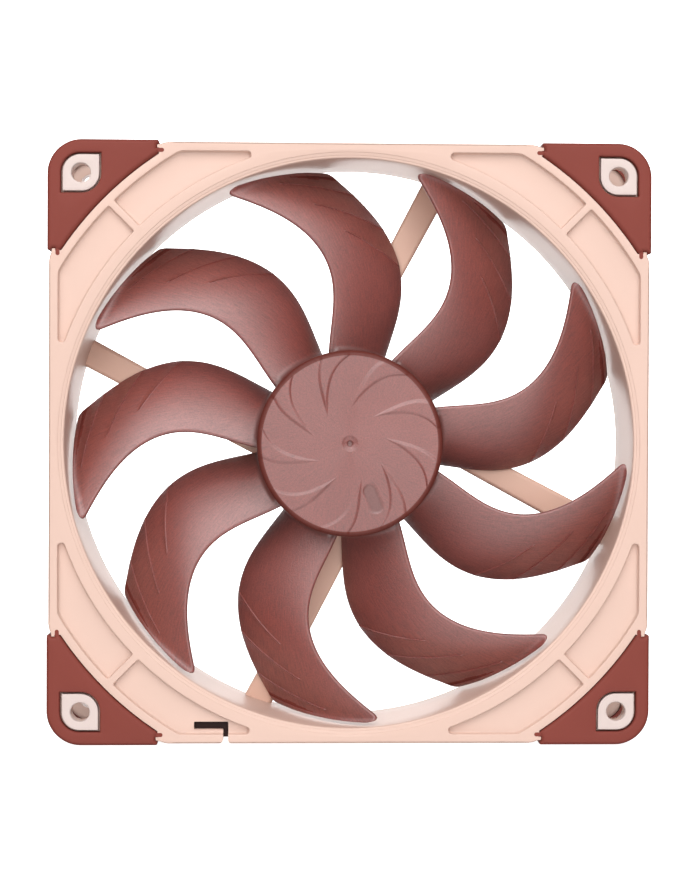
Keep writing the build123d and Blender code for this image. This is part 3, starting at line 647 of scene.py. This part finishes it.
def buildShell():
    # one closed profile at every grid line: inlet steps, face, side, back, ring, and the same again behind
    h = house
    lines = quadrantLines()
    inQuadrant = np.tile(lines, 4)[:, None]
    turn = np.repeat([0, 90, 180, 270], lines.size)[:, None]
    count = inQuadrant.shape[0]

    def everywhere(pairs):
        pairs = np.array(pairs, float)
        return np.tile(pairs[:, 0], (count, 1)), np.tile(pairs[:, 1], (count, 1))

    faceR, side = flangeFace(inQuadrant)
    angle = np.radians(lineAngles(inQuadrant, faceR) + turn)
    faceH = faceHeight(faceR * np.cos(angle), faceR * np.sin(angle))
    quarter = np.linspace(0, pi / 2, 6)[None, :]
    edgeR = side - h["edgeRound"] * (1 - np.sin(quarter))
    edgeH = faceH[:, -1:] - h["edgeRound"] * (1 - np.cos(quarter))
    small = np.linspace(0, pi / 2, 4)[None, :]
    backR = side - h["backRound"] * (1 - np.cos(small))
    backH = np.tile(h["backH"] + h["backRound"] * (1 - np.sin(small)), (count, 1))
    middle = (backR[:, -1:] + h["ringR"]) / 2
    ringFootR = np.tile(h["ringR"] + h["ringFillet"] * (1 - np.sin(small)), (count, 1))
    ringFootH = np.tile(h["backH"] - h["ringFillet"] * (1 - np.cos(small)), (count, 1))
    outR = np.concatenate([faceR, edgeR, backR, middle, ringFootR], 1)
    outH = np.concatenate([faceH, edgeH, backH, np.full(middle.shape, h["backH"]), ringFootH], 1)
    (inR, inH), (exitR, exitH) = [everywhere(pairs) for pairs in boreProfile()]
    allR = np.concatenate([inR, outR, np.full((count, 1), h["ringR"]), outR[:, ::-1], exitR], 1)
    allH = np.concatenate([inH, outH, np.zeros((count, 1)), -outH[:, ::-1], exitH], 1)
    allA = np.radians(lineAngles(np.tile(inQuadrant, (1, allR.shape[1])), allR) + turn)
    points = toWorld(allR * np.cos(allA), allH, allR * np.sin(allA))
    return points, gridFaces(count, allR.shape[1], closeRows=True, closeCols=True)


def prism(outline, bottom, top):
    # a straight-sided solid between two heights
    count = len(outline)
    x, z = np.array(outline, float).T
    points = np.concatenate([toWorld(x, np.full(count, bottom), z), toWorld(x, np.full(count, top), z)])
    around = np.arange(count)
    beside = (around + 1) % count
    sides = np.stack([around, beside, beside + count, around + count], -1).tolist()
    return points, sides + [around.tolist(), (around + count).tolist()]


def arc(cx, cz, radius, start, end, steps=8):
    # points round part of a circle, its angles in degrees
    turn = np.radians(np.linspace(start, end, steps))
    return list(zip(cx + radius * np.cos(turn), cz + radius * np.sin(turn)))


slot = dict(left=-36.0, right=-28.0, top=-64.7, bottom=-66.5, neckLeft=-29.2, cornerR=0.3, fingerR=1.0,
            mouthR=0.8, foot=6.5, slotShadeFoot=-68.4, slotShadeTop=-65.1, slotShadeBack=7.5, slotShadeFace=9.4,
            slotShadeSink=0.04)
lead = dict(turn=242.0, offset=10.4, width=3.0, depth=1.9, windowIn=14.5, windowOut=17.5,
            strutWider=0.06, strutDeeper=0.04)


def slotOutline():
    # hooked lead slot: a flat run, and a neck down through the flange's edge with rounded mouth corners
    s = slot
    c, edge = s["cornerR"], -house["half"]
    outline = arc(s["left"] + c, s["top"] - c, c, 90, 180, 5)
    outline += arc(s["left"] + c, s["bottom"] + c, c, 180, 270, 5)
    outline += arc(s["neckLeft"] - c, s["bottom"] - c, c, 90, 0, 5)
    outline += arc(s["neckLeft"] - s["fingerR"], edge + s["fingerR"], s["fingerR"], 0, -90, 7)
    outline += [(s["neckLeft"] - s["fingerR"], edge - 1), (s["right"] + s["mouthR"], edge - 1)]
    outline += arc(s["right"] + s["mouthR"], edge + s["mouthR"], s["mouthR"], -90, -180, 7)
    outline += arc(s["right"] - c, s["top"] - c, c, 0, 90, 5)
    return outline


def leadCut(end, top, wider=0.0):
    # a box along the lead's way, which passes the axis at an offset, from below the frame up to a height
    halfWidth = (lead["width"] + wider) / 2
    near, far = lead["offset"] - halfWidth, lead["offset"] + halfWidth
    corners = [(lead["windowIn"], near), (end, near), (end, far), (lead["windowIn"], far)]
    outline = [turnAbout(u, v, radians(lead["turn"])) for u, v in corners]
    return prism(outline, -house["beyond"], top)


def frameCutters():
    # what is cut out of the frame: the lead slot, four screw holes and the lead's channel at the back
    h = house
    cutters = [prism(slotOutline(), slot["foot"], h["beyond"])]
    for sx in (-1, 1):
        for sz in (-1, 1):
            around = arc(sx * h["holeAt"], sz * h["holeAt"], h["holeR"], 0, 352.5, 48)
            cutters.append(prism(around, -h["beyond"], h["beyond"]))
    cutters.append(leadCut(h["cutEnd"], -h["faceH"] + lead["depth"]))
    return cutters


def cutMesh(mesh, cutters):
    # what is left of a mesh outside the given prisms
    body = bpy.data.objects.new("cutBody", mesh)
    merged = bmesh.new()
    for points, faces in cutters:
        merged.from_mesh(makeMesh("cutter", points, faces))
    toolMesh = bpy.data.meshes.new("cutTool")
    merged.to_mesh(toolMesh)
    merged.free()
    tool = bpy.data.objects.new("cutTool", toolMesh)
    for item in (body, tool):
        bpy.context.scene.collection.objects.link(item)
    change = body.modifiers.new("cut", "BOOLEAN")
    change.operation = "DIFFERENCE"
    change.solver = "MANIFOLD"
    change.object = tool
    result = bpy.data.meshes.new_from_object(body.evaluated_get(bpy.context.evaluated_depsgraph_get()))
    bpy.data.objects.remove(body)
    bpy.data.objects.remove(tool)
    return result


def joinShells(name, meshes):
    # one mesh from several closed shells; each comes with the number of its material
    work = bmesh.new()
    for mesh, number in meshes:
        before = len(work.faces)
        work.from_mesh(mesh)
        work.faces.ensure_lookup_table()
        for face in work.faces[before:]:
            face.material_index = number
    joined = bpy.data.meshes.new(name)
    work.to_mesh(joined)
    work.free()
    return joined


def boxDistance(x, z, half, radius):
    # signed distance to a square with round corners
    dx, dz = np.abs(x) - half + radius, np.abs(z) - half + radius
    return np.hypot(np.maximum(dx, 0), np.maximum(dz, 0)) + np.minimum(np.maximum(dx, dz), 0) - radius


def eyeDistance(x, z, half, sharp=0.12):
    # a square about the hole whose corners on the fan's diagonal are fully round; x, z from the hole
    return np.where(x * z > 0, boxDistance(x, z, half, half * 0.98), boxDistance(x, z, half, sharp))


def rayRadius(distance, angles, far, samples=500, halvings=24):
    # first crossing of an outline along rays from the screw hole, found by sampling and then halving
    r = np.linspace(0.5, far, samples)[None, :]
    c, s = np.cos(angles)[:, None], np.sin(angles)[:, None]
    first = (distance(r * c, r * s) > 0).argmax(1)
    low, high = r[0, np.maximum(first - 1, 0)], r[0, first]
    for _ in range(halvings):
        middle = (low + high) / 2
        out = distance(middle * c[:, 0], middle * s[:, 0]) > 0
        low, high = np.where(out, low, middle), np.where(out, middle, high)
    return (low + high) / 2


def spreadAngles(distance, far, count):
    # directions from the hole, closer where the outline is far away or turns sharply, and on both sides of
    # each sharp corner of the eye
    dense = np.linspace(0, 2 * pi, 4001)[:-1]
    r = rayRadius(distance, dense, far)
    x, z = r * np.cos(dense), r * np.sin(dense)
    dx, dz = np.roll(x, -1) - x, np.roll(z, -1) - z
    length = np.hypot(dx, dz)
    heading = np.unwrap(np.arctan2(dz, dx))
    turning = np.minimum(np.abs(np.diff(heading, append=heading[0] + 2 * pi)), 0.6)
    weight = length / length.sum() + 1.2 * turning / turning.sum() + 0.6 / dense.size
    share = np.concatenate([[0], np.cumsum(weight)])
    angles = np.interp(np.arange(count) / count, share / share[-1], np.append(dense, 2 * pi))
    sharpCorners = np.radians([at + d for at in (135, 315) for d in (-2.5, -1.2, 0, 1.2, 2.5)])
    return np.unique(np.round(np.concatenate([angles, sharpCorners]), 5))


def stackPiece(levels, angles, corner, rear):
    # a solid from outlines at given heights, laid round a screw hole: levels are (radii, height) rows
    radii = np.stack([np.broadcast_to(r, angles.shape) for r, _ in levels])
    heights = np.stack([np.broadcast_to(h, angles.shape) for _, h in levels])
    x = house["holeAt"] + radii * np.cos(angles)
    z = house["holeAt"] + radii * np.sin(angles)
    x, z = turnAbout(x, z, pi / 2 * corner)
    points = toWorld(x, -heights if rear else heights, z)
    return points, gridFaces(len(levels), angles.size, closeRows=True, closeCols=True)


def cornerPair(outline, low, high, corner, rear):
    # a prism beside a corner and its mirror image across the diagonal
    outline = np.array(outline)
    found = []
    for shape in (outline, outline[::-1, ::-1]):
        x, z = turnAbout(*shape.T, pi / 2 * corner)
        found.append(prism(np.stack([x, z], -1), -high if rear else low, -low if rear else high))
    return found


boss = dict(half=4.2, footH=10.2, edgeR=0.22, holeR=house["holeR"], holeEdge=0.3, points=110, far=9)


def bossStack(corner, rear):
    # the boss round a screw hole: an eye-shaped outline, rounded at its top, with the hole's edge rounded too
    b, top = boss, house["faceH"]
    angles = spreadAngles(lambda x, z: eyeDistance(x, z, b["half"]), b["far"], b["points"])
    quarter = np.linspace(0, pi / 2, 5)

    def outline(inset):
        return rayRadius(lambda x, z: eyeDistance(x, z, b["half"]) + inset, angles, b["far"])

    levels = [(outline(0), b["footH"])]
    levels += [(outline(b["edgeR"] * (1 - cos(q))), top - b["edgeR"] * (1 - sin(q))) for q in quarter]
    levels += [(b["holeR"] + b["holeEdge"] * (1 - sin(q)), top - b["holeEdge"] * (1 - cos(q)))
               for q in quarter]
    levels += [(b["holeR"], b["footH"])]
    return stackPiece(levels, angles, corner, rear)


def tabSolids(corner, rear):
    # small square tabs at the ends of the rails, which reach into the notches of a pad
    h = house
    start, end = h["padEnd"] - 1.0, h["padEnd"] + h["tabReach"]
    low, high, c = h["tabAt"] - h["tabHalf"], h["tabAt"] + h["tabHalf"], h["tabRound"]
    outline = [(start, low), (end, low), (end, high - c), (end - c, high), (start, high)]
    return cornerPair(outline, h["backH"] + 0.3, h["faceH"] - 0.02, corner, rear)


def buildFrame():
    # the cut shell, and a boss and two tabs at each corner of both flanges
    meshes = [(cutMesh(makeMesh("shell", *buildShell()), frameCutters()), 0)]
    for rear in (False, True):
        for corner in range(4):
            meshes.append((makeMesh("boss", *bossStack(corner, rear)), 1))
            meshes += [(makeMesh("tab", *solid), 0) for solid in tabSolids(corner, rear)]
    # dark sheet at the back of the lead slot, painted shade inside it: two overlapping bars along the hook,
    # sunk into its walls
    s = slot
    bars = ((s["left"], s["right"], s["bottom"], s["top"]),
            (s["neckLeft"], s["right"], s["slotShadeFoot"], s["slotShadeTop"]))
    for (x0, x1, z0, z1), depth in zip(bars, (0.0, 0.02)):
        g = s["slotShadeSink"]
        outline = np.array([(x0 - g, z0 - g), (x1 + g, z0 - g), (x1 + g, z1 + g), (x0 - g, z1 + g)])
        meshes.append((makeMesh("slotShade", *prism(outline, s["slotShadeBack"] - depth, s["slotShadeFace"] - depth)), 2))
    addPiece("frameShell", joinShells("frameShell", meshes), "frame", ("frame",),
             [framePlastic, bossPlastic, slotShadePlastic], 35)


buildFrame()


mount = dict(baseR=21.5, baseTop=-8.9, recessR=16.7, recess=0.2, tubeR=4.9, tubeWall=1.5, tubeTop=-3.4,
             tubeFloor=-11.2, edgeR=0.3, postR=1.0, postAt=14.0, postTop=-7.7, postCount=3, postStart=15.0,
             postSink=0.3, postRound=0.2, tubeRound=0.15, tubeFoot=0.4)
strut = dict(count=4, angle=-28.0, offset=10.4, inner=12.0, outer=67.25, hubW=5.4, rimW=6.7, hubAt=10.75,
             bottom=-12.06, top=-8.7, topR=1.0, bottomR=0.25, endH=-10.4)


def turnedSolid(profile, steps=96, at=(0.0, 0.0)):
    # a profile of (radius, height) pairs turned about a line along the axis; both ends lie on that line
    radius, height = np.array(profile, float).T
    turn = np.linspace(0, 2 * pi, steps, endpoint=False)[:, None]
    x = at[0] + radius[None, :] * np.cos(turn)
    z = at[1] + radius[None, :] * np.sin(turn)
    return toWorld(x, np.broadcast_to(height, x.shape), z), gridFaces(steps, len(profile), closeRows=True)


def strutSolid(number):
    # a rounded bar carried along a straight line beside the axis, a little wider at the rim, its ends closed
    s = strut
    along = np.linspace(s["inner"], s["outer"], 12)[:, None]
    half = np.interp(along, [s["hubAt"], s["outer"]], [s["hubW"] / 2, s["rimW"] / 2])
    q = np.linspace(0, pi / 2, 7)
    topR, footR = s["topR"], s["bottomR"]
    right = [(-footR + footR * cos(v), s["bottom"] + footR - footR * sin(v)) for v in q[::-1]]
    right += [(-topR + topR * cos(v), s["top"] - topR + topR * sin(v)) for v in q]
    inward, height = np.array(right).T
    across = np.concatenate([half + inward, (-half - inward)[:, ::-1]], 1) + s["offset"]
    heights = np.broadcast_to(np.concatenate([height, height[::-1]]), across.shape)
    along = np.broadcast_to(along, across.shape)
    point = np.ones((1, across.shape[1]))
    across = np.concatenate([point * s["offset"], across, point * s["offset"]])
    heights = np.concatenate([point * s["endH"], heights, point * s["endH"]])
    along = np.concatenate([along[:1], along, along[-1:]])
    x, z = turnAbout(along, across, radians(s["angle"] + 360 / s["count"] * number))
    return toWorld(x, heights, z), gridFaces(*x.shape, closeCols=True)


def mountProfile():
    # (radius, height) pairs of the base disc, from the recess under it round to the bearing tube's inside
    m, bottom = mount, -house["faceH"]
    e, soft, tube, t = m["edgeR"], 0.3 * m["edgeR"], m["tubeR"] + m["tubeWall"], m["tubeRound"]
    floor, foot = bottom + m["recess"], m["tubeFoot"]
    return [(0, floor), (m["recessR"] - 0.05, floor), (m["recessR"], floor - 0.05), (m["recessR"], bottom),
            (m["baseR"] - e, bottom), (m["baseR"] - soft, bottom + soft), (m["baseR"], bottom + e),
            (m["baseR"], m["baseTop"] - e), (m["baseR"] - soft, m["baseTop"] - soft),
            (m["baseR"] - e, m["baseTop"]), (tube + foot, m["baseTop"]),
            (tube + foot / 4, m["baseTop"] + foot / 4), (tube, m["baseTop"] + foot),
            (tube, m["tubeTop"] - t), (tube - t, m["tubeTop"]), (m["tubeR"] + t, m["tubeTop"]),
            (m["tubeR"], m["tubeTop"] - t), (m["tubeR"], m["tubeFloor"]), (0, m["tubeFloor"])]


def buildMount():
    # the base disc with its bearing tube, the struts to the ring, and the posts that carry the board
    m, grooveTop, end = mount, lead["depth"] - house["faceH"], house["cutEnd"]
    disc = cutMesh(makeMesh("base", *turnedSolid(mountProfile(), 160)), [leadCut(end, grooveTop)])
    meshes = [(cutMesh(disc, [leadCut(lead["windowOut"], m["baseTop"] + 1)]), 0)]
    # the strut along the lead's way has its groove a little wider and deeper, so that no faces coincide
    strutGroove = leadCut(end, grooveTop + lead["strutDeeper"], lead["strutWider"])
    for number in range(strut["count"]):
        solid = makeMesh("strut", *strutSolid(number))
        onLead = abs((strut["angle"] + 360 / strut["count"] * number - lead["turn"]) % 360) < 1
        meshes.append((cutMesh(solid, [strutGroove]) if onLead else solid, 0))
    c = m["postRound"]
    pin = [(0, m["baseTop"] - m["postSink"]), (m["postR"], m["baseTop"] - m["postSink"]),
           (m["postR"], m["postTop"] - c), (m["postR"] - c, m["postTop"]), (0, m["postTop"])]
    for number in range(m["postCount"]):
        place = turnAbout(m["postAt"], 0.0, radians(m["postStart"] + 360 / m["postCount"] * number))
        meshes.append((makeMesh("post", *turnedSolid(pin, 24, place)), 0))
    # the mount takes the warmer copy of the frame's plastic: painted bounce light
    addPiece("motorMount", joinShells("motorMount", meshes), "frame", ("frame",),
             [paintedBouncePlastic], 35)


buildMount()


pad = dict(half=70.0, cornerR=8.0, arcR=80.3, end=44.4, eyeHalf=4.65, topH=12.5, seatH=10.5, footH=6.9,
           topRound=1.0, eyeRound=0.4, footRound=0.3, skirt=1.85, hook=2.6, hookT=1.0, planRound=0.35,
           notchAt=68.5, notchHalf=0.42, notchDepth=0.4, tongueAt=67.56, tongueHalf=0.47, tongueReach=1.25,
           tongueFoot=9.0, sideBand=1.9, cornerFrom=60.0, points=250, far=30, eyeFar=9)


def padDistance(x, z):
    # pad outline about the fan's axis: inside the rounded square, outside the arc, beyond both ends,
    # less a small notch in each end
    p = pad
    square = boxDistance(x, z, p["half"], p["cornerR"])
    shape = roundMax(square, p["arcR"] - np.hypot(x, z), 0.15)
    shape = roundMax(shape, p["end"] - x, p["planRound"])
    shape = roundMax(shape, p["end"] - z, p["planRound"])
    for a, b in ((x, z), (z, x)):
        notch = np.maximum(np.abs(b - p["notchAt"]) - p["notchHalf"], a - p["end"] - p["notchDepth"])
        shape = np.maximum(shape, -notch)
    return shape


def padStack(corner, rear):
    # a pad as stacked outlines: eye, top, rounded rim, side, and a skirt that hooks under the flange outside
    p, at = pad, house["holeAt"]

    def shape(x, z):
        return padDistance(x + at, z + at)

    def outline(inset):
        return rayRadius(lambda x, z: shape(x, z) + inset, angles, p["far"])

    def eye(grown):
        return rayRadius(lambda x, z: eyeDistance(x, z, p["eyeHalf"]) - grown, angles, p["eyeFar"])

    angles = spreadAngles(shape, p["far"], p["points"])
    r0 = outline(0)
    x, z = at + r0 * np.cos(angles), at + r0 * np.sin(angles)
    onSide = (np.maximum(x, z) > p["half"] - p["sideBand"]) | (np.minimum(x, z) > p["cornerFrom"])
    foot = np.where(onSide, p["footH"], p["seatH"])
    hookTop = np.where(onSide, foot + p["hookT"] - 0.02, p["seatH"])
    q = np.linspace(0, pi / 2, 7)
    topR, footR = p["topRound"], p["footRound"]
    levels = [(eye(0.0), p["seatH"])]
    levels += [(eye(p["eyeRound"] * (1 - cos(v))), p["topH"] - p["eyeRound"] * (1 - sin(v))) for v in q[::2]]
    levels += [(eye(p["eyeRound"]) * 0.6 + outline(topR) * 0.4, p["topH"])]
    levels += [(outline(topR * (1 - sin(v))), p["topH"] - topR * (1 - cos(v))) for v in q]
    levels += [(outline(footR * (1 - cos(v))), foot + footR * (1 - sin(v))) for v in q[::2]]
    nearIn = outline(0.5)
    hookIn = np.where(onSide, outline(p["hook"]), nearIn)
    skirtIn = np.where(onSide, outline(p["skirt"]), nearIn)
    levels += [(hookIn, foot), (hookIn, hookTop), (skirtIn, hookTop), (skirtIn, p["seatH"])]
    return stackPiece(levels, angles, corner, rear)


def tongueSolids(corner, rear):
    # the pad's under-layer runs on past each end as a small round-ended tongue
    p = pad
    start, at, half = p["end"] + 1, p["tongueAt"], p["tongueHalf"]
    outline = [(start, at - half), (start, at + half)]
    outline += arc(p["end"] - p["tongueReach"] + half, at, half, 90, 270, 9)
    return cornerPair(outline, p["tongueFoot"], house["faceH"] + 0.03, corner, rear)


def buildPads():
    for side, rear in (("front", False), ("rear", True)):
        for corner, place in enumerate(("top_right", "top_left", "bottom_left", "bottom_right")):
            name = f"{side}_pad_{place}"
            meshes = [(makeMesh("pad", *padStack(corner, rear)), 0)]
            meshes += [(makeMesh("tongue", *solid), 0) for solid in tongueSolids(corner, rear)]
            joined = joinShells(name + "_rubber", meshes)
            addPiece(name + "_rubber", joined, "frame", (name,), [padRubber], 40)


buildPads()


def innerMaterial(name, base, metal, roughness, stretch, span):
    # an even material whose tone and gloss drift with noise stretched along the part's axes
    material, tree, shader = newMaterial(name, base, roughness)
    shader.inputs["Metallic"].default_value = metal
    noise = noiseNode(tree, objectVector(tree, stretch), 1.0, 4.0)
    tones = toneRamp(tree, noise, base, (0.35, 0.65), (1 - span, 1 + span))
    tree.links.new(tones, shader.inputs["Base Color"])
    gloss = rangeNode(tree, noise, (0.3, 0.7), (roughness * 0.85, min(roughness * 1.15, 1)))
    tree.links.new(gloss, shader.inputs["Roughness"])
    setBump(tree, shader, noise, 0.3, 0.00003)
    return material


# tone, metal share, roughness, stretch of the noise, span of the tones, and how the nodes' names start
fine, turned, sheets = (1500, 1500, 1500), (300, 2500, 300), (60, 2600, 60)
inner = {
    "yokeSteel": (linear(150, 150, 152), 0.9, 0.36, turned, 0.12, ("rotor_yoke",)),
    "darkMagnet": (linear(62, 60, 60), 0.3, 0.55, fine, 0.15, ("ring_magnet", "lift_magnet")),
    "turnedBrass": (linear(196, 164, 92), 0.95, 0.28, turned, 0.08,
                    ("hub_bush", "bearing_tube", "bearing_cap")),
    "sinteredBronze": (linear(150, 112, 72), 0.85, 0.5, fine, 0.2, ("sleeve_bearing",)),
    "groundSteel": (linear(205, 206, 208), 1.0, 0.16, turned, 0.05, ("shaft",)),
    "whiteNylon": (linear(226, 224, 216), 0.0, 0.45, fine, 0.04,
                   ("oil_washer", "bearing_seal", "retaining_clip", "thrust_plate")),
    "coreSteel": (linear(128, 130, 134), 0.85, 0.42, sheets, 0.3, ("stator_core",)),
    "bobbinNylon": (linear(205, 198, 180), 0.0, 0.5, fine, 0.05, ("upper_bobbin", "lower_bobbin")),
    "enamelledCopper": (linear(172, 92, 50), 0.8, 0.32, (250, 3200, 250), 0.3, ("coil",)),
    "greenBoard": (linear(38, 78, 50), 0.0, 0.4, (700, 700, 700), 0.15, ("circuit_board",)),
    "blackChip": (linear(36, 36, 38), 0.0, 0.5, fine, 0.15, ("driver_chip", "hall_sensor")),
    "chipCeramic": (linear(164, 138, 108), 0.1, 0.45, fine, 0.12, ("chip_parts",)),
    "tin": (linear(200, 200, 196), 0.95, 0.3, fine, 0.1, ("terminal_pins", "solder_pads")),
    "labelFilm": (linear(206, 203, 196), 0.0, 0.34, (900, 900, 900), 0.012, ("rear_label",)),
}


def dress():
    # the nodes that stay in sight as they are get the material of their kind
    dressed = 0
    for name, (base, metal, roughness, stretch, span, starts) in inner.items():
        material = innerMaterial(name, base, metal, roughness, stretch, span)
        for node in nodes:
            if node.startswith(starts):
                mesh = nodes[node].data
                mesh.materials.clear()
                mesh.materials.append(material)
                mesh.shade_smooth()
                mesh.set_sharp_from_angle(angle=radians(30))
                dressed += 1
    print("nodes dressed:", dressed)


dress()


# the studio and its camera, in metres, watts, millimetres of lens and degrees
studio = dict(floorZ=-0.0702, roomHalf=4.0, roomHeight=5.0, roomGlow=1.0, skyTop=0.17, skyBottom=0.09,
              cardHalf=0.5, cardY=0.7, cardGlow=1.7, keyWidth=1.8, keyHeight=1.0, keyPower=20.5,
              keyAt=(-0.04, -0.83, 0.66), fillWidth=1.3, fillPower=9.5, fillAt=(0.05, -0.85, -0.62))
camera = dict(lens=73.0, sensor=36.0, distance=0.42829, aim=(0.00035, 0.0, 0.00001), tilt=-0.698, roll=-0.225,
              turn=-1.815)


def glowMaterial(name, strength):
    # a pale sheet that glows white
    material, _, shader = newMaterial(name, (0.86, 0.86, 0.86), 0.9, 0.1)
    shader.inputs["Emission Color"].default_value = (1, 1, 1, 1)
    shader.inputs["Emission Strength"].default_value = strength
    return material


def stageSheet(name, corners, material, lights):
    # flat quads from groups of four corners; unless it lights the part, only the camera sees the sheet
    mesh = bpy.data.meshes.new(name)
    mesh.from_pydata(corners, [], [tuple(range(k, k + 4)) for k in range(0, len(corners), 4)])
    mesh.materials.append(material)
    sheet = bpy.data.objects.new(name, mesh)
    sheet.visible_diffuse = sheet.visible_glossy = sheet.visible_shadow = lights
    bpy.context.scene.collection.objects.link(sheet)


def buildStudio():
    # a room that only the camera sees, a glowing card behind the fan, a soft sky, and two lamps in front
    s = studio
    low, r, top = s["floorZ"], s["roomHalf"], s["roomHeight"]
    pale = glowMaterial("paleFloor", s["roomGlow"])
    stageSheet("floor", [(-r, -r, low), (r, -r, low), (r, r, low), (-r, r, low)], pale, False)
    ring = [(-r, -r), (r, -r), (r, r), (-r, r)]
    walls = [corner for (ax, ay), (bx, by) in zip(ring, ring[1:] + ring[:1])
             for corner in ((ax, ay, low), (bx, by, low), (bx, by, top), (ax, ay, top))]
    walls += [(x, y, top) for x, y in ring]
    stageSheet("backdrop", walls, pale, False)
    c, y = s["cardHalf"], s["cardY"]
    card = [(-c, y, -c), (c, y, -c), (c, y, c), (-c, y, c)]
    stageSheet("card", card, glowMaterial("card", s["cardGlow"]), True)

    # sky: brighter above than below
    world = bpy.data.worlds.new("studio")
    bpy.context.scene.world = world
    world.use_nodes = True
    tree = world.node_tree
    way = addNode(tree, "ShaderNodeTexCoord")
    parts = addNode(tree, "ShaderNodeSeparateXYZ", {0: way.outputs["Generated"]})
    fade = rangeNode(tree, parts.outputs["Z"], (-0.6, 1.0), (s["skyBottom"], s["skyTop"]))
    background = tree.nodes["Background"]
    background.inputs["Color"].default_value = (1, 1, 1, 1)
    tree.links.new(fade, background.inputs["Strength"])

    lamps = (("key", s["keyAt"], s["keyWidth"], s["keyHeight"], s["keyPower"]),
             ("fill", s["fillAt"], s["fillWidth"], s["fillWidth"], s["fillPower"]))
    for name, place, width, tall, power in lamps:
        lamp = bpy.data.lights.new(name, "AREA")
        lamp.shape = "RECTANGLE"
        lamp.size, lamp.size_y = width, tall
        lamp.energy = power
        lampObject = bpy.data.objects.new(name, lamp)
        lampObject.location = place
        lampObject.rotation_euler = (-Vector(place)).to_track_quat("-Z", "Y").to_euler()
        bpy.context.scene.collection.objects.link(lampObject)


def placeCamera():
    # at a distance from its aim, against the way it looks
    c = camera
    turn = Euler((radians(90 + c["tilt"]), radians(c["roll"]), radians(c["turn"])))
    data = bpy.data.cameras.new("camera")
    data.lens = c["lens"]
    data.sensor_width = c["sensor"]
    data.clip_start = 0.01
    cam = bpy.data.objects.new("camera", data)
    cam.rotation_euler = turn
    forward = turn.to_matrix() @ Vector((0, 0, -1))
    cam.location = Vector(c["aim"]) - forward * c["distance"]
    bpy.context.scene.collection.objects.link(cam)
    bpy.context.scene.camera = cam


buildStudio()
placeCamera()
bpy.context.scene.view_settings.view_transform = "Standard"
print("studio ready")
